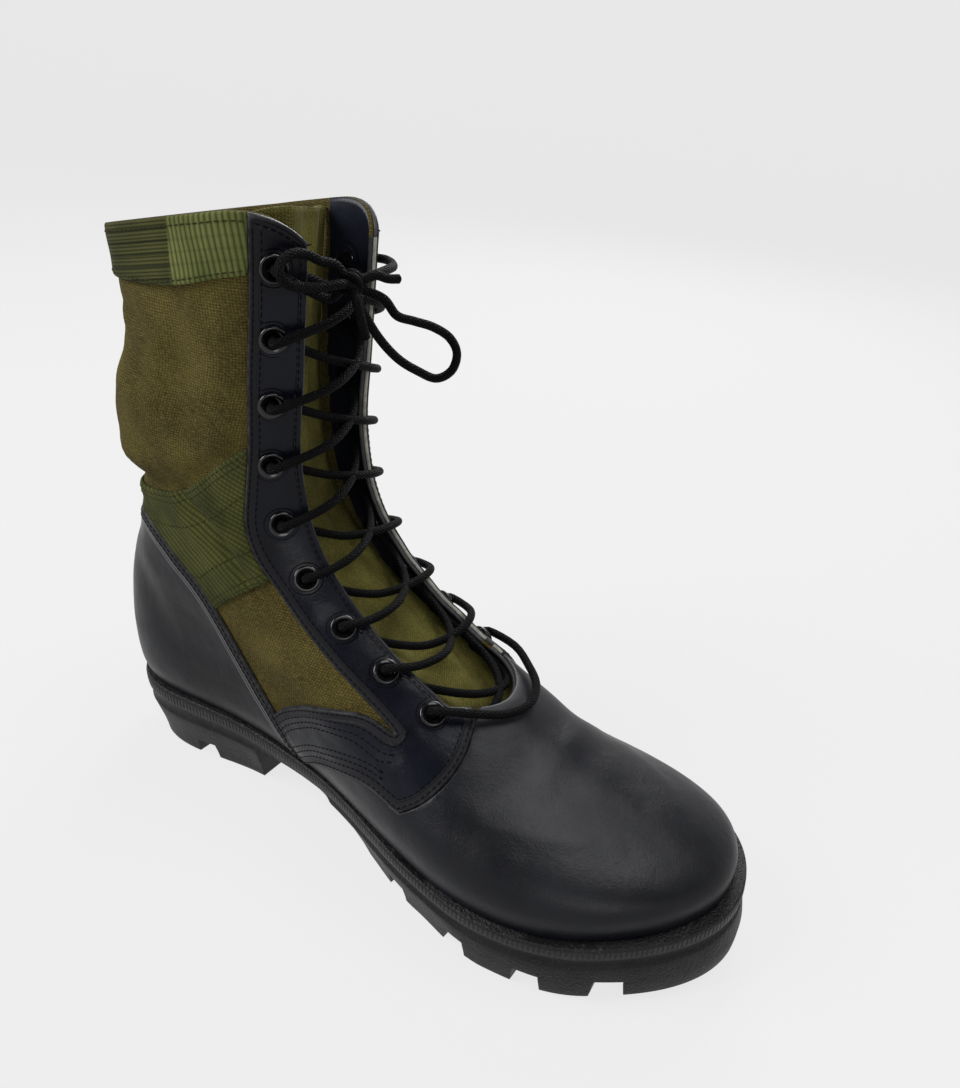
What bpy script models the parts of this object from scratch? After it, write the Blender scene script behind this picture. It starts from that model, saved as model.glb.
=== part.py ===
"""A right-foot jungle boot: canvas upper, leather overlays, moulded lug sole, eyelets and lace.

The toe points along +X, the outer flank is on -Y and +Z is up. The origin is on the floor, under the heel.
Lengths are in metres.
"""

import math

import bmesh
import bpy
import numpy as np
from mathutils import Matrix, Vector

# Driving sizes of the last
SOLE_LENGTH = 0.312
BALL_WIDTH = 0.106
COLLAR_HEIGHT = 0.262
HEEL_TO_ORIGIN = 0.045
TOE_SWING = 0.012

# Driving sizes of the sole
LEDGE = 0.0060
HEEL_HEIGHT = 0.037
SHANK_HEIGHT = 0.032
BALL_HEIGHT = 0.027
TOE_HEIGHT = 0.032
TOE_SPRING = 0.005
HEEL_BREAST = 0.088
ARCH_RISE = 0.022
ARCH_END = 0.165
LUG_DEPTH = 0.009
GROOVE_WIDTH = 0.014
GROOVE_TAPER = 0.7
CHANNEL_WIDTH = 0.010
INSOLE_THICKNESS = 0.003

# Walls and the gaps between pieces
UPPER_WALL = 0.0016
VAMP_THICKNESS = 0.0012
COUNTER_THICKNESS = 0.0016
FACING_THICKNESS = 0.0022
STRAP_THICKNESS = 0.0013
BAND_THICKNESS = 0.0015
TONGUE_THICKNESS = 0.0020
JOINT_GAP = 0.0003
SEAM_GAP = 0.0004

# Eyelets and lace
EYELET_COUNT = 9
EYELET_HOLE = 0.0050
EYELET_BARREL = 0.0060
EYELET_RIM = 0.0108
EYELET_RIM_THICKNESS = 0.0009
EYELET_INSET = {-1: 0.0120, 1: 0.0155}
EYELET_SEAT = 0.0011
RIM_DISH = 0.6
RIM_CROWN = 0.8
HOLE_REACH = 0.030
LACE_CLEARANCE = 0.0009
LACE_THICKNESS = 0.0036
TONGUE_RINGS = (4.10, 9.90)
TONGUE_SEAT = 0.0005
TONGUE_BULGE = 0.003
TONGUE_LEAVES = 0.35
INSOLE_INSET = 0.0019

# Segments round turned and swept pieces
EYELET_SEGMENTS = 8
SOLE_SEGMENTS = 60
INSOLE_SEGMENTS = 32

# The rings and columns of the upper's grid
SIDE_COLUMNS = 12
FRONT_COLUMNS = 7
ROWS_BELOW_THROAT = 8
ROWS_ABOVE_THROAT = 8
CORNER_DROP = 0.30
CORNER_COLUMNS = 3

# One row for each ring round the last, from the feather line up to the collar. Ends are shares of SOLE_LENGTH
# from the heel end, rises are shares of COLLAR_HEIGHT, and widths and throat edges are shares of BALL_WIDTH.
RING_COLUMNS = (
    "back", "back_rise", "front", "front_rise", "heel",
    "waist_out", "waist_in", "ball_out", "ball_in", "toe_out", "toe_in", "edge_out", "edge_in",
)
RING_TABLE = (
    (0.028, 0.142, 0.965, 0.122, 0.345, 0.34, 0.25, 0.550, 0.380, 0.425, 0.40, 0.22, 0.36),
    (0.018, 0.180, 0.964, 0.158, 0.370, 0.37, 0.28, 0.570, 0.385, 0.435, 0.38, 0.22, 0.36),
    (0.010, 0.235, 0.942, 0.180, 0.370, 0.37, 0.29, 0.550, 0.355, 0.405, 0.33, 0.22, 0.36),
    (0.006, 0.290, 0.885, 0.204, 0.355, 0.36, 0.30, 0.480, 0.300, 0.320, 0.25, 0.24, 0.36),
    (0.010, 0.352, 0.790, 0.235, 0.340, 0.36, 0.31, 0.420, 0.280, 0.260, 0.23, 0.26, 0.36),
    (0.021, 0.408, 0.635, 0.308, 0.320, 0.36, 0.32, 0.360, 0.280, 0.230, 0.23, 0.26, 0.36),
    (0.038, 0.465, 0.480, 0.392, 0.290, 0.36, 0.33, 0.350, 0.300, 0.240, 0.26, 0.20, 0.32),
    (0.052, 0.530, 0.378, 0.500, 0.290, 0.35, 0.34, 0.350, 0.330, 0.250, 0.28, 0.17, 0.29),
    (0.026, 0.650, 0.345, 0.640, 0.310, 0.38, 0.36, 0.370, 0.325, 0.270, 0.28, 0.17, 0.26),
    (0.060, 0.790, 0.350, 0.795, 0.310, 0.39, 0.37, 0.380, 0.310, 0.270, 0.27, 0.17, 0.27),
    (0.054, 0.940, 0.358, 1.020, 0.320, 0.40, 0.38, 0.390, 0.310, 0.280, 0.27, 0.17, 0.27),
)
STATIONS = (0.10, 0.40, 0.70, 0.90)
THROAT_RING = 5.0
TOP_RING = 10.0
EYELET_RINGS = {-1: (4.86, 9.58), 1: (4.82, 9.50)}

# The tongue's plan on each ring: the flank of the throat edge it is measured from, how far behind, and how deep.
# Between the second and third rows it crosses the opening as a chord.
TONGUE_ROWS = (
    (1, 0.030, UPPER_WALL + TONGUE_SEAT),
    (1, 0.026, 0.0075),
    (-1, 0.002, 0.0100),
    (-1, 0.014, 0.0086),
    (-1, 0.026, 0.0070),
    (-1, 0.030, UPPER_WALL + TONGUE_SEAT),
)
TONGUE_CHORD = (0.25, 0.50, 0.75)

# Heights of the lace above the last: over the facing, over an eyelet's rim, and under the wall
LACE_OVER = JOINT_GAP + FACING_THICKNESS + LACE_THICKNESS / 2 + LACE_CLEARANCE
LACE_TOP = LACE_OVER + EYELET_SEAT + EYELET_RIM_THICKNESS
LACE_UNDER = -(UPPER_WALL + LACE_THICKNESS / 2 + LACE_CLEARANCE)

# The knot, and the hand-picked routes of what is tied in it. KNOT_END stands for a cord's end at the knot, and
# a tie starts over its eyelet.
KNOT = (0.0722, -0.0012, 0.2378)
KNOT_RADII = (0.0042, 0.0052, 0.0052)
KNOT_END = None
LACE_TIES = {
    "lace_tie_lateral": (
        -1, ((0.0652, -0.0262, 0.2410), (0.0668, -0.0180, 0.2365), (0.0680, -0.0090, 0.2325), KNOT_END),
    ),
    "lace_tie_medial": (
        1, ((0.0560, 0.0402, 0.2385), (0.0655, 0.0330, 0.2385), (0.0712, 0.0200, 0.2395), KNOT_END),
    ),
}
LACE_ROUTES = {
    "lace_loop_lateral": (
        KNOT_END, (0.0702, -0.0085, 0.2453), (0.0692, -0.0150, 0.2472), (0.0676, -0.0210, 0.2500),
        (0.0668, -0.0270, 0.2506), (0.0668, -0.0320, 0.2488), (0.0680, -0.0346, 0.2452),
        (0.0698, -0.0322, 0.2416), (0.0712, -0.0260, 0.2398), (0.0726, -0.0180, 0.2392),
        (0.0738, -0.0105, 0.2392), KNOT_END,
    ),
    "lace_loop_medial": (
        KNOT_END, (0.0762, 0.0002, 0.2285), (0.0790, 0.0070, 0.2175), (0.0830, 0.0145, 0.2085),
        (0.0880, 0.0215, 0.2030), (0.0925, 0.0282, 0.1995), (0.0962, 0.0335, 0.2025),
        (0.0972, 0.0350, 0.2095), (0.0950, 0.0322, 0.2160), (0.0910, 0.0262, 0.2205),
        (0.0865, 0.0198, 0.2230), (0.0825, 0.0135, 0.2255), (0.0800, 0.0085, 0.2320), KNOT_END,
    ),
    "lace_end_medial": (
        KNOT_END, (0.0770, 0.0072, 0.2405), (0.0795, 0.0112, 0.2392), (0.0818, 0.0150, 0.2390),
    ),
    "lace_end_lateral": (
        KNOT_END, (0.0790, -0.0062, 0.2325), (0.0810, -0.0060, 0.2260), (0.0815, -0.0040, 0.2200),
    ),
}

# Heights of the sole's top and its underside. Each row is a share of SOLE_LENGTH and a height.
SOLE_TOP = ((0.15, HEEL_HEIGHT), (0.42, SHANK_HEIGHT), (0.72, BALL_HEIGHT), (1.0, TOE_HEIGHT))

# How far the sole stands out of the last's outline at its top and at the floor. Each row is a share of
# SOLE_LENGTH, then the two distances in shares of LEDGE.
EDGE_TABLE = (
    (0.00, 0.75, -0.70),
    (0.15, 0.80, -0.40),
    (0.28, 0.70, -0.70),
    (0.45, 0.50, -1.30),
    (0.62, 0.65, -0.40),
    (0.74, 0.80, 0.30),
    (0.86, 0.95, 0.80),
    (1.00, 1.20, 1.65),
)

# The sole's side wall from the top down: a share of the height of the wall, the mix of its ledge and tread
# edges, and a step outwards in shares of LEDGE.
WALL_TABLE = (
    (1.00, 0.00, -0.12),
    (0.95, 0.00, 0.00),
    (0.79, 0.08, 0.00),
    (0.75, 0.10, -0.20),
    (0.66, 0.16, -0.20),
    (0.60, 0.24, 0.00),
    (0.28, 0.80, 0.12),
    (0.00, 1.00, 0.00),
)

# Grooves between the lugs: where each meets the edge of the sole, and its inner end, as shares of SOLE_LENGTH.
GROOVE_TABLE = (
    (0.176, 0.186),
    (0.564, 0.600),
    (0.683, 0.705),
    (0.792, 0.800),
    (0.897, 0.880),
)

# Side outlines of the overlays, in shares of SOLE_LENGTH from the heel end and of COLLAR_HEIGHT.
COUNTER_OUTLINE = (
    (-0.100, 0.050), (0.405, 0.050), (0.405, 0.110), (0.364, 0.176), (0.292, 0.269),
    (0.230, 0.378), (0.171, 0.435), (0.106, 0.479), (0.050, 0.478), (-0.100, 0.468),
)
# The facing's back edge, with how much further forward each point lies on the inner flank.
FACING_BACK = (
    (0.316, 1.100, -0.065),
    (0.309, 0.890, -0.063),
    (0.294, 0.620, -0.046),
    (0.300, 0.515, -0.030),
    (0.355, 0.431, -0.030),
    (0.433, 0.359, -0.030),
    (0.550, 0.289, -0.030),
)
FACING_REST = (
    (0.500, 0.303), (0.444, 0.289), (0.393, 0.258), (0.339, 0.199), (0.320, 0.100), (0.385, 0.122),
    (0.443, 0.171), (0.527, 0.209), (0.598, 0.205), (0.630, 0.248), (0.634, 0.270), (0.619, 0.293),
    (0.600, 0.335), (0.660, 0.400), (0.720, 0.500), (0.720, 1.100),
)
STRAP_OUTLINE = (
    (0.350, 0.720), (0.265, 0.637), (0.193, 0.566), (0.100, 0.535), (-0.100, 0.522),
    (-0.100, 0.400), (0.230, 0.355), (0.277, 0.407), (0.345, 0.467), (0.420, 0.520),
)
BAND_OUTLINE = (
    (-0.100, 0.868), (0.178, 0.885), (0.305, 0.921), (0.450, 0.950), (0.450, 1.200), (-0.100, 1.200),
)
VAMP_OUTLINE = (
    (0.340, 0.050), (1.100, 0.050), (1.100, 0.500), (0.575, 0.500), (0.575, 0.290), (0.470, 0.250),
    (0.395, 0.185),
)

COLOURS = {
    "rubber": (0.018, 0.018, 0.020, 0.70, 0.0),
    "leather": (0.020, 0.021, 0.026, 0.38, 0.0),
    "canvas": (0.150, 0.140, 0.055, 0.90, 0.0),
    "webbing": (0.060, 0.075, 0.022, 0.85, 0.0),
    "tongue": (0.150, 0.150, 0.055, 0.90, 0.0),
    "board": (0.200, 0.160, 0.110, 0.85, 0.0),
    "enamel": (0.010, 0.010, 0.010, 0.25, 0.6),
    "cord": (0.012, 0.012, 0.014, 0.80, 0.0),
}


def column(name, t):
    """A column of the ring table at a real-valued row, along a Catmull-Rom curve."""
    values = [row[RING_COLUMNS.index(name)] for row in RING_TABLE]
    last = len(values) - 1
    i = min(max(int(t), 0), last - 1)
    f = t - i
    p0, p1, p2, p3 = (values[min(max(k, 0), last)] for k in (i - 1, i, i + 1, i + 2))
    square = (2 * p0 - 5 * p1 + 4 * p2 - p3) * f * f
    cube = (3 * p1 - p0 - 3 * p2 + p3) * f**3
    return 0.5 * (2 * p1 + (p2 - p0) * f + square + cube)


def along(share):
    """X of a place given as a share of the sole's length from its heel end."""
    return share * SOLE_LENGTH - HEEL_TO_ORIGIN


def spine(x):
    """Y of the foot's middle line, which turns inwards towards the toe."""
    share = (x + HEEL_TO_ORIGIN) / SOLE_LENGTH
    return TOE_SWING * share * share


def eased(x, points):
    """Height at x through (x, height) points, with level tangents."""
    if x <= points[0][0]:
        return points[0][1]
    for (x0, z0), (x1, z1) in zip(points, points[1:]):
        if x <= x1:
            f = (x - x0) / (x1 - x0)
            return z0 + (z1 - z0) * f * f * (3 - 2 * f)
    return points[-1][1]


def sole_top(x):
    return eased(x, [(along(share), height) for share, height in SOLE_TOP])


def sine_terms(widths):
    """The four sine terms whose sum passes through four half widths, and through nothing at both ends."""
    angles = [math.acos(1 - 2 * s) for s in STATIONS]
    matrix = [[math.sin(k * a) for k in (1, 2, 3, 4)] for a in angles]
    return np.linalg.solve(np.array(matrix), np.array(widths) * BALL_WIDTH)


RING_CACHE = {}


def ring(t, side):
    """What a ring needs for its points on one flank: both ends and the terms of its half width."""
    key = (round(t, 6), side)
    if key not in RING_CACHE:
        flank = "_in" if side > 0 else "_out"
        terms = sine_terms([column(name, t) for name in ("heel", "waist" + flank, "ball" + flank, "toe" + flank)])
        ends = [column(name, t) for name in ("back", "back_rise", "front", "front_rise")]
        RING_CACHE[key] = (ends, [float(term) for term in terms])
    return RING_CACHE[key]


def ring_point(t, theta):
    """A point of the last. Theta is 0 at the back, pi at the front, and negative on the outer flank."""
    theta = math.remainder(theta, 2 * math.pi)
    (back, low, front, high), terms = ring(t, 1 if theta > 0 else -1)
    s = 0.5 - 0.5 * math.cos(theta)
    x = along(back + (front - back) * s)
    half = sum(term * math.sin((k + 1) * abs(theta)) for k, term in enumerate(terms))
    level = (low + (high - low) * s) * COLLAR_HEIGHT
    foot_low, foot_high = RING_TABLE[0][1], RING_TABLE[0][3]
    seat = max(0.0, 1 - t / 3)
    level += seat * (sole_top(x) + JOINT_GAP - (foot_low + (foot_high - foot_low) * s) * COLLAR_HEIGHT)
    return Vector((x, spine(x) + math.copysign(half, theta), level))


def outward(t, theta):
    """The unit normal of the last, pointing out."""
    step = 0.02
    up = ring_point(min(t + step, TOP_RING), theta) - ring_point(max(t - step, 0.0), theta)
    around = ring_point(t, theta + step) - ring_point(t, theta - step)
    normal = around.cross(up) * -1.0
    normal.z *= min(1.0, t / 0.6)
    return normal.normalized()


def lifted(t, theta, height):
    """A point at a height above the last, or inside it where the height is negative."""
    return ring_point(t, theta) + outward(t, theta) * height


def from_front(t, side, reach):
    """The angle at which a ring is a given length of arc from its front, on one flank."""
    steps = 48
    walked, last = 0.0, ring_point(t, side * math.pi)
    for i in range(1, steps + 1):
        point = ring_point(t, side * math.pi * (1 - 0.6 * i / steps))
        stride = (point - last).length
        if walked + stride >= reach:
            return side * math.pi * (1 - 0.6 * (i - 1 + (reach - walked) / stride) / steps)
        walked, last = walked + stride, point
    return side * math.pi * 0.4


def from_edge(t, side, distance):
    """The angle at a distance behind the throat's edge."""
    return from_front(t, side, column("edge_in" if side > 0 else "edge_out", t) * BALL_WIDTH + distance)


def material(name):
    found = bpy.data.materials.get(name)
    if found:
        return found
    red, green, blue, roughness, metallic = COLOURS[name]
    made = bpy.data.materials.new(name)
    made.use_nodes = True
    made.diffuse_color = (red, green, blue, 1.0)
    shader = made.node_tree.nodes["Principled BSDF"]
    shader.inputs["Base Color"].default_value = (red, green, blue, 1.0)
    shader.inputs["Roughness"].default_value = roughness
    shader.inputs["Metallic"].default_value = metallic
    return made


def place(name, mesh, finish=None):
    """Link a mesh as a part, or as a cutter where it has no finish."""
    made = bpy.data.objects.new(name, mesh)
    if finish:
        mesh.materials.append(material(finish))
        PARTS.objects.link(made)
    else:
        CUTTERS.objects.link(made)
        made.hide_render = True
        made.display_type = "WIRE"
    return made


def mesh_of(name, points, faces):
    """A mesh with its doubles merged and its faces turned out."""
    built = bmesh.new()
    corners = [built.verts.new(p) for p in points]
    for face in faces:
        built.faces.new([corners[i] for i in face])
    bmesh.ops.remove_doubles(built, verts=built.verts, dist=1e-6)
    bmesh.ops.recalc_face_normals(built, faces=built.faces)
    mesh = bpy.data.meshes.new(name)
    built.to_mesh(mesh)
    built.free()
    return mesh


def cut(piece, cutter, operation):
    step = piece.modifiers.new(operation.lower(), "BOOLEAN")
    step.operation = operation
    step.solver = "EXACT"
    step.object = cutter


def grid_rows():
    low = [THROAT_RING * i / ROWS_BELOW_THROAT for i in range(ROWS_BELOW_THROAT)]
    high = [THROAT_RING + (TOP_RING - THROAT_RING) * i / ROWS_ABOVE_THROAT for i in range(ROWS_ABOVE_THROAT + 1)]
    return low + high


def grid_angles(t):
    """The grid's angles from the outer throat edge round the back to the inner one, then across the front."""
    out, into = from_edge(t, -1, 0.0), from_edge(t, 1, 0.0)
    angles = [out * (1 - i / SIDE_COLUMNS) for i in range(SIDE_COLUMNS)]
    angles += [into * i / SIDE_COLUMNS for i in range(SIDE_COLUMNS + 1)]
    reach = 2 * math.pi + out - into
    angles += [into + reach * i / FRONT_COLUMNS for i in range(1, FRONT_COLUMNS)]
    return angles


def shell(name, inner, outer):
    """A closed wall of the whole upper between two heights above the last, open at collar, throat and foot."""
    rows = grid_rows()
    width = 2 * SIDE_COLUMNS + FRONT_COLUMNS
    points = []
    for height in (outer, inner):
        for t in rows:
            for j, theta in enumerate(grid_angles(t)):
                near = max(0.0, 1 - min(j, abs(2 * SIDE_COLUMNS - j)) / CORNER_COLUMNS)
                drop = CORNER_DROP * near * near * max(0.0, t - TOP_RING + 1)
                points.append(lifted(t - drop, theta, height))
    layer = len(rows) * width
    solid = [[i < ROWS_BELOW_THROAT or j < 2 * SIDE_COLUMNS for j in range(width)] for i in range(len(rows) - 1)]
    faces = []

    def at(i, j, k):
        return k * layer + i * width + j % width

    for i, row in enumerate(solid):
        for j, there in enumerate(row):
            if not there:
                continue
            for k in (0, 1):
                faces.append((at(i, j, k), at(i, j + 1, k), at(i + 1, j + 1, k)))
                faces.append((at(i, j, k), at(i + 1, j + 1, k), at(i + 1, j, k)))
            if i == 0 or not solid[i - 1][j]:
                faces.append((at(i, j, 0), at(i, j, 1), at(i, j + 1, 1), at(i, j + 1, 0)))
            if i == len(solid) - 1 or not solid[i + 1][j]:
                faces.append((at(i + 1, j, 0), at(i + 1, j + 1, 0), at(i + 1, j + 1, 1), at(i + 1, j, 1)))
            if not row[j - 1]:
                faces.append((at(i, j, 0), at(i + 1, j, 0), at(i + 1, j, 1), at(i, j, 1)))
            if not row[(j + 1) % width]:
                faces.append((at(i, j + 1, 0), at(i, j + 1, 1), at(i + 1, j + 1, 1), at(i + 1, j + 1, 0)))
    built = bmesh.new()
    corners = [built.verts.new(p) for p in points]
    for face in faces:
        built.faces.new([corners[i] for i in face])
    bmesh.ops.delete(built, geom=[v for v in built.verts if not v.link_faces], context="VERTS")
    bmesh.ops.recalc_face_normals(built, faces=built.faces)
    mesh = bpy.data.meshes.new(name)
    built.to_mesh(mesh)
    built.free()
    return mesh


def grown(outline, gap):
    """An outline of (x, z) points moved out by a gap."""
    area = sum(a[0] * b[1] - b[0] * a[1] for a, b in zip(outline, outline[1:] + outline[:1]))
    turn = 1 if area > 0 else -1
    moved = []
    for before, here, after in zip(outline[-1:] + outline[:-1], outline, outline[1:] + outline[:1]):
        first = Vector((here[0] - before[0], here[1] - before[1])).normalized()
        second = Vector((after[0] - here[0], after[1] - here[1])).normalized()
        normal = Vector((first.y + second.y, -first.x - second.x)).normalized()
        miter = max(0.3, normal.dot(Vector((first.y, -first.x))))
        moved.append((here[0] + turn * gap * normal.x / miter, here[1] + turn * gap * normal.y / miter))
    return moved


def prism(name, rows, near, far, gap=0.0):
    """A cutter whose side view is an outline in shares, between two values of y."""
    outline = [(along(share), rise * COLLAR_HEIGHT) for share, rise in rows]
    outline = grown(outline, gap)
    count = len(outline)
    points = [(x, y, z) for y in (near, far) for x, z in outline]
    faces = [tuple(range(count)), tuple(range(count, 2 * count))]
    faces += [(i, (i + 1) % count, count + (i + 1) % count, count + i) for i in range(count)]
    return place(name, mesh_of(name, points, faces))


def make_outsole():
    """Rings of the side wall down from the ledge, closed by strips across the top and the tread."""
    steps = SOLE_SEGMENTS // 2
    angles = [math.pi * i / steps for i in range(-steps + 1, steps + 1)]
    count = len(angles)
    points = []
    for rise, mix, step in WALL_TABLE:
        for theta in angles:
            base = ring_point(0.0, theta)
            normal = outward_in_plan(theta)
            top = sole_top(base.x)
            foot = underside(base.x)
            share = (base.x + HEEL_TO_ORIGIN) / SOLE_LENGTH
            ledge = eased(share, [row[:2] for row in EDGE_TABLE])
            tread = eased(share, [(row[0], row[2]) for row in EDGE_TABLE])
            flat = normal * LEDGE * (ledge + (tread - ledge) * mix + step)
            points.append((base.x + flat.x, base.y + flat.y, foot + (top - foot) * rise))
    faces = []
    for level in range(len(WALL_TABLE) - 1):
        for i in range(count):
            a, b = level * count + i, level * count + (i + 1) % count
            faces.append((a, b, b + count, a + count))
    last = (len(WALL_TABLE) - 1) * count
    for start in (0, last):
        for i in range(count // 2):
            low, high = steps - 1 - i, steps - 1 + i
            row = (start + low, start + high, start + (high + 1) % count, start + (low - 1) % count)
            faces.append(tuple(dict.fromkeys(row)))
    sole = place("outsole", mesh_of("outsole", points, faces), "rubber")
    cut(sole, arch_cutter(), "DIFFERENCE")
    cut(sole, groove_cutter(), "DIFFERENCE")
    return sole


def outward_in_plan(theta):
    step = 0.02
    around = ring_point(0.0, theta + step) - ring_point(0.0, theta - step)
    return Vector((-around.y, around.x, 0.0)).normalized()


def underside(x):
    """The tread's height: on the floor, then rising over the toe spring."""
    return eased(x, ((along(0.74), 0.0), (along(1.03), TOE_SPRING)))


def arch_cutter():
    """The open arch between the breast of the heel and the forefoot."""
    breast = HEEL_BREAST - HEEL_TO_ORIGIN
    end = ARCH_END - HEEL_TO_ORIGIN
    reach = 2 * BALL_WIDTH
    profile = [(breast, -LUG_DEPTH), (breast + 0.002, ARCH_RISE)]
    steps = 6
    for i in range(steps + 1):
        f = i / steps
        x = breast + (end - breast) * (0.55 + 0.45 * f)
        profile.append((x, ARCH_RISE * (1 - f * f * (3 - 2 * f))))
    profile.append((end + 0.002, -LUG_DEPTH))
    count = len(profile)
    points = [(x, y, z) for y in (-reach, reach) for x, z in profile]
    faces = [tuple(range(count)), tuple(range(count, 2 * count))]
    faces += [(i, (i + 1) % count, count + (i + 1) % count, count + i) for i in range(count)]
    return place("cut_arch", mesh_of("cut_arch", points, faces))


def groove_cutter():
    """Grooves between the lugs on both edges, as one cutter of separate wedges."""
    built = bmesh.new()
    for edge, inner in GROOVE_TABLE:
        for side in (-1, 1):
            x_edge, x_inner = along(edge), along(inner)
            y_in = spine(x_inner) + side * CHANNEL_WIDTH * 0.5
            y_out = spine(x_edge) + side * BALL_WIDTH
            floor = underside(x_edge)
            half, low = GROOVE_WIDTH / 2, -LUG_DEPTH
            corners = []
            for x, y in ((x_inner, y_in), (x_edge, y_out)):
                top = half * GROOVE_TAPER
                for dx, z in ((-half, low), (half, low), (top, floor + LUG_DEPTH), (-top, floor + LUG_DEPTH)):
                    corners.append(built.verts.new((x + dx, y, z)))
            quads = ((0, 1, 2, 3), (4, 5, 6, 7), (0, 1, 5, 4), (1, 2, 6, 5), (2, 3, 7, 6), (3, 0, 4, 7))
            for quad in quads:
                built.faces.new([corners[i] for i in quad])
    bmesh.ops.recalc_face_normals(built, faces=built.faces)
    mesh = bpy.data.meshes.new("cut_grooves")
    built.to_mesh(mesh)
    built.free()
    return place("cut_grooves", mesh)


def make_insole():
    """A thin board on the sole, inside the wall."""
    steps = INSOLE_SEGMENTS // 2
    angles = [math.pi * i / steps for i in range(-steps + 1, steps + 1)]
    count = len(angles)
    points = []
    for height in (INSOLE_THICKNESS, 0.0):
        for theta in angles:
            base = ring_point(0.0, theta)
            inset = outward_in_plan(theta) * -(UPPER_WALL + INSOLE_INSET)
            x, y = base.x + inset.x, base.y + inset.y
            points.append((x, y, sole_top(x) + JOINT_GAP + height))
    faces = []
    for i in range(count):
        a, b = i, (i + 1) % count
        faces.append((a, b, b + count, a + count))
    for start in (0, count):
        for i in range(count // 2):
            low, high = steps - 1 - i, steps - 1 + i
            row = (start + low, start + high, start + (high + 1) % count, start + (low - 1) % count)
            faces.append(tuple(dict.fromkeys(row)))
    return place("insole", mesh_of("insole", points, faces), "board")


def make_upper():
    return place("upper", shell("upper", -UPPER_WALL, 0.0), "canvas")


def tongue_row(t, sink, inwards):
    """Points of the tongue on one ring, from the inner flap across to the outer one."""
    seat = UPPER_WALL + TONGUE_SEAT
    row = []
    for flank, behind, depth in TONGUE_ROWS:
        deep = seat + (depth - seat) * sink
        row.append(lifted(t, from_edge(t, flank, behind), -deep - inwards))
    start, end = row[1], row[2]
    chord = []
    for w in TONGUE_CHORD:
        forward = Vector((TONGUE_BULGE * math.sin(math.pi * w), 0.0, 0.0))
        chord.append(start + (end - start) * w + forward)
    return row[:2] + chord + row[2:]


def make_tongue():
    """A gusset that leaves the wall behind each throat edge and crosses the opening behind the lace."""
    rows, columns = 15, len(TONGUE_ROWS) + len(TONGUE_CHORD) - 1
    low, high = TONGUE_RINGS
    points = []
    for inwards in (0.0, TONGUE_THICKNESS):
        for i in range(rows + 1):
            t = low + (high - low) * i / rows
            points += tongue_row(t, min(1.0, (t - low) / TONGUE_LEAVES), inwards)
    layer = (rows + 1) * (columns + 1)
    faces = []

    def at(i, j, k):
        return k * layer + i * (columns + 1) + j

    for i in range(rows):
        for j in range(columns):
            faces.append((at(i, j, 0), at(i, j + 1, 0), at(i + 1, j + 1, 0), at(i + 1, j, 0)))
            faces.append((at(i, j, 1), at(i, j + 1, 1), at(i + 1, j + 1, 1), at(i + 1, j, 1)))
    for i in range(rows):
        for j in (0, columns):
            faces.append((at(i, j, 0), at(i + 1, j, 0), at(i + 1, j, 1), at(i, j, 1)))
    for j in range(columns):
        for i in (0, rows):
            faces.append((at(i, j, 0), at(i, j + 1, 0), at(i, j + 1, 1), at(i, j, 1)))
    return place("tongue", mesh_of("tongue", points, faces), "tongue")


def facing_outline(side):
    """The facing's side outline. Its foot follows the throat's corner, further back on the inner flank."""
    corner = [ring_point(THROAT_RING, from_edge(THROAT_RING, flank, 0.0)).x for flank in (-1, side)]
    shift = (corner[1] - corner[0]) / SOLE_LENGTH
    back = [(share + inner * (side > 0), rise) for share, rise, inner in FACING_BACK]
    return back + [(share + shift, rise) for share, rise in FACING_REST]


def make_overlays():
    """Leather and tape cut out of walls that lie just outside the upper."""
    reach = 2 * BALL_WIDTH
    flanks = {"lateral": -1, "medial": 1}
    counter_region = prism("cut_counter", COUNTER_OUTLINE, -reach, reach)
    counter_wide = prism("cut_counter_gap", COUNTER_OUTLINE, -reach, reach, SEAM_GAP)
    facing_wide = {}
    for name, side in flanks.items():
        outline = facing_outline(side)
        region = prism("cut_facing_" + name, outline, 0.0, side * reach)
        facing_wide[name] = prism("cut_facing_gap_" + name, outline, 0.0, side * reach, SEAM_GAP)
        facing = overlay("facing_" + name, FACING_THICKNESS, "leather")
        cut(facing, region, "INTERSECT")
        cut(facing, counter_wide, "DIFFERENCE")
    counter = overlay("counter", COUNTER_THICKNESS, "leather")
    cut(counter, counter_region, "INTERSECT")
    for name, rows, thickness, finish in (
        ("vamp", VAMP_OUTLINE, VAMP_THICKNESS, "leather"),
        ("ankle_strap", STRAP_OUTLINE, STRAP_THICKNESS, "webbing"),
        ("collar_band", BAND_OUTLINE, BAND_THICKNESS, "webbing"),
    ):
        piece = overlay(name, thickness, finish)
        cut(piece, prism("cut_" + name, rows, -reach, reach), "INTERSECT")
        cut(piece, counter_wide, "DIFFERENCE")
        for side in flanks:
            cut(piece, facing_wide[side], "DIFFERENCE")


def overlay(name, thickness, finish):
    return place(name, shell(name, JOINT_GAP, JOINT_GAP + thickness), finish)


def eyelet_spots(side):
    """Ring and angle of each eyelet on one facing from the bottom up, spaced evenly along it."""
    low, high = EYELET_RINGS[side]
    samples = [low + (high - low) * i / 80 for i in range(81)]
    line = [lifted(t, from_edge(t, side, EYELET_INSET[side]), 0.0) for t in samples]
    walked = [0.0]
    for before, after in zip(line, line[1:]):
        walked.append(walked[-1] + (after - before).length)
    wanted = [walked[-1] * i / (EYELET_COUNT - 1) for i in range(EYELET_COUNT)]
    rings = np.interp(wanted, walked, samples)
    return [(float(t), from_edge(float(t), side, EYELET_INSET[side])) for t in rings]


def stand(t, theta, height):
    """The frame of a piece that stands on the last: its place, and Z along the normal."""
    frame = outward(t, theta).to_track_quat("Z", "Y").to_matrix().to_4x4()
    frame.translation = lifted(t, theta, height)
    return frame


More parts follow.
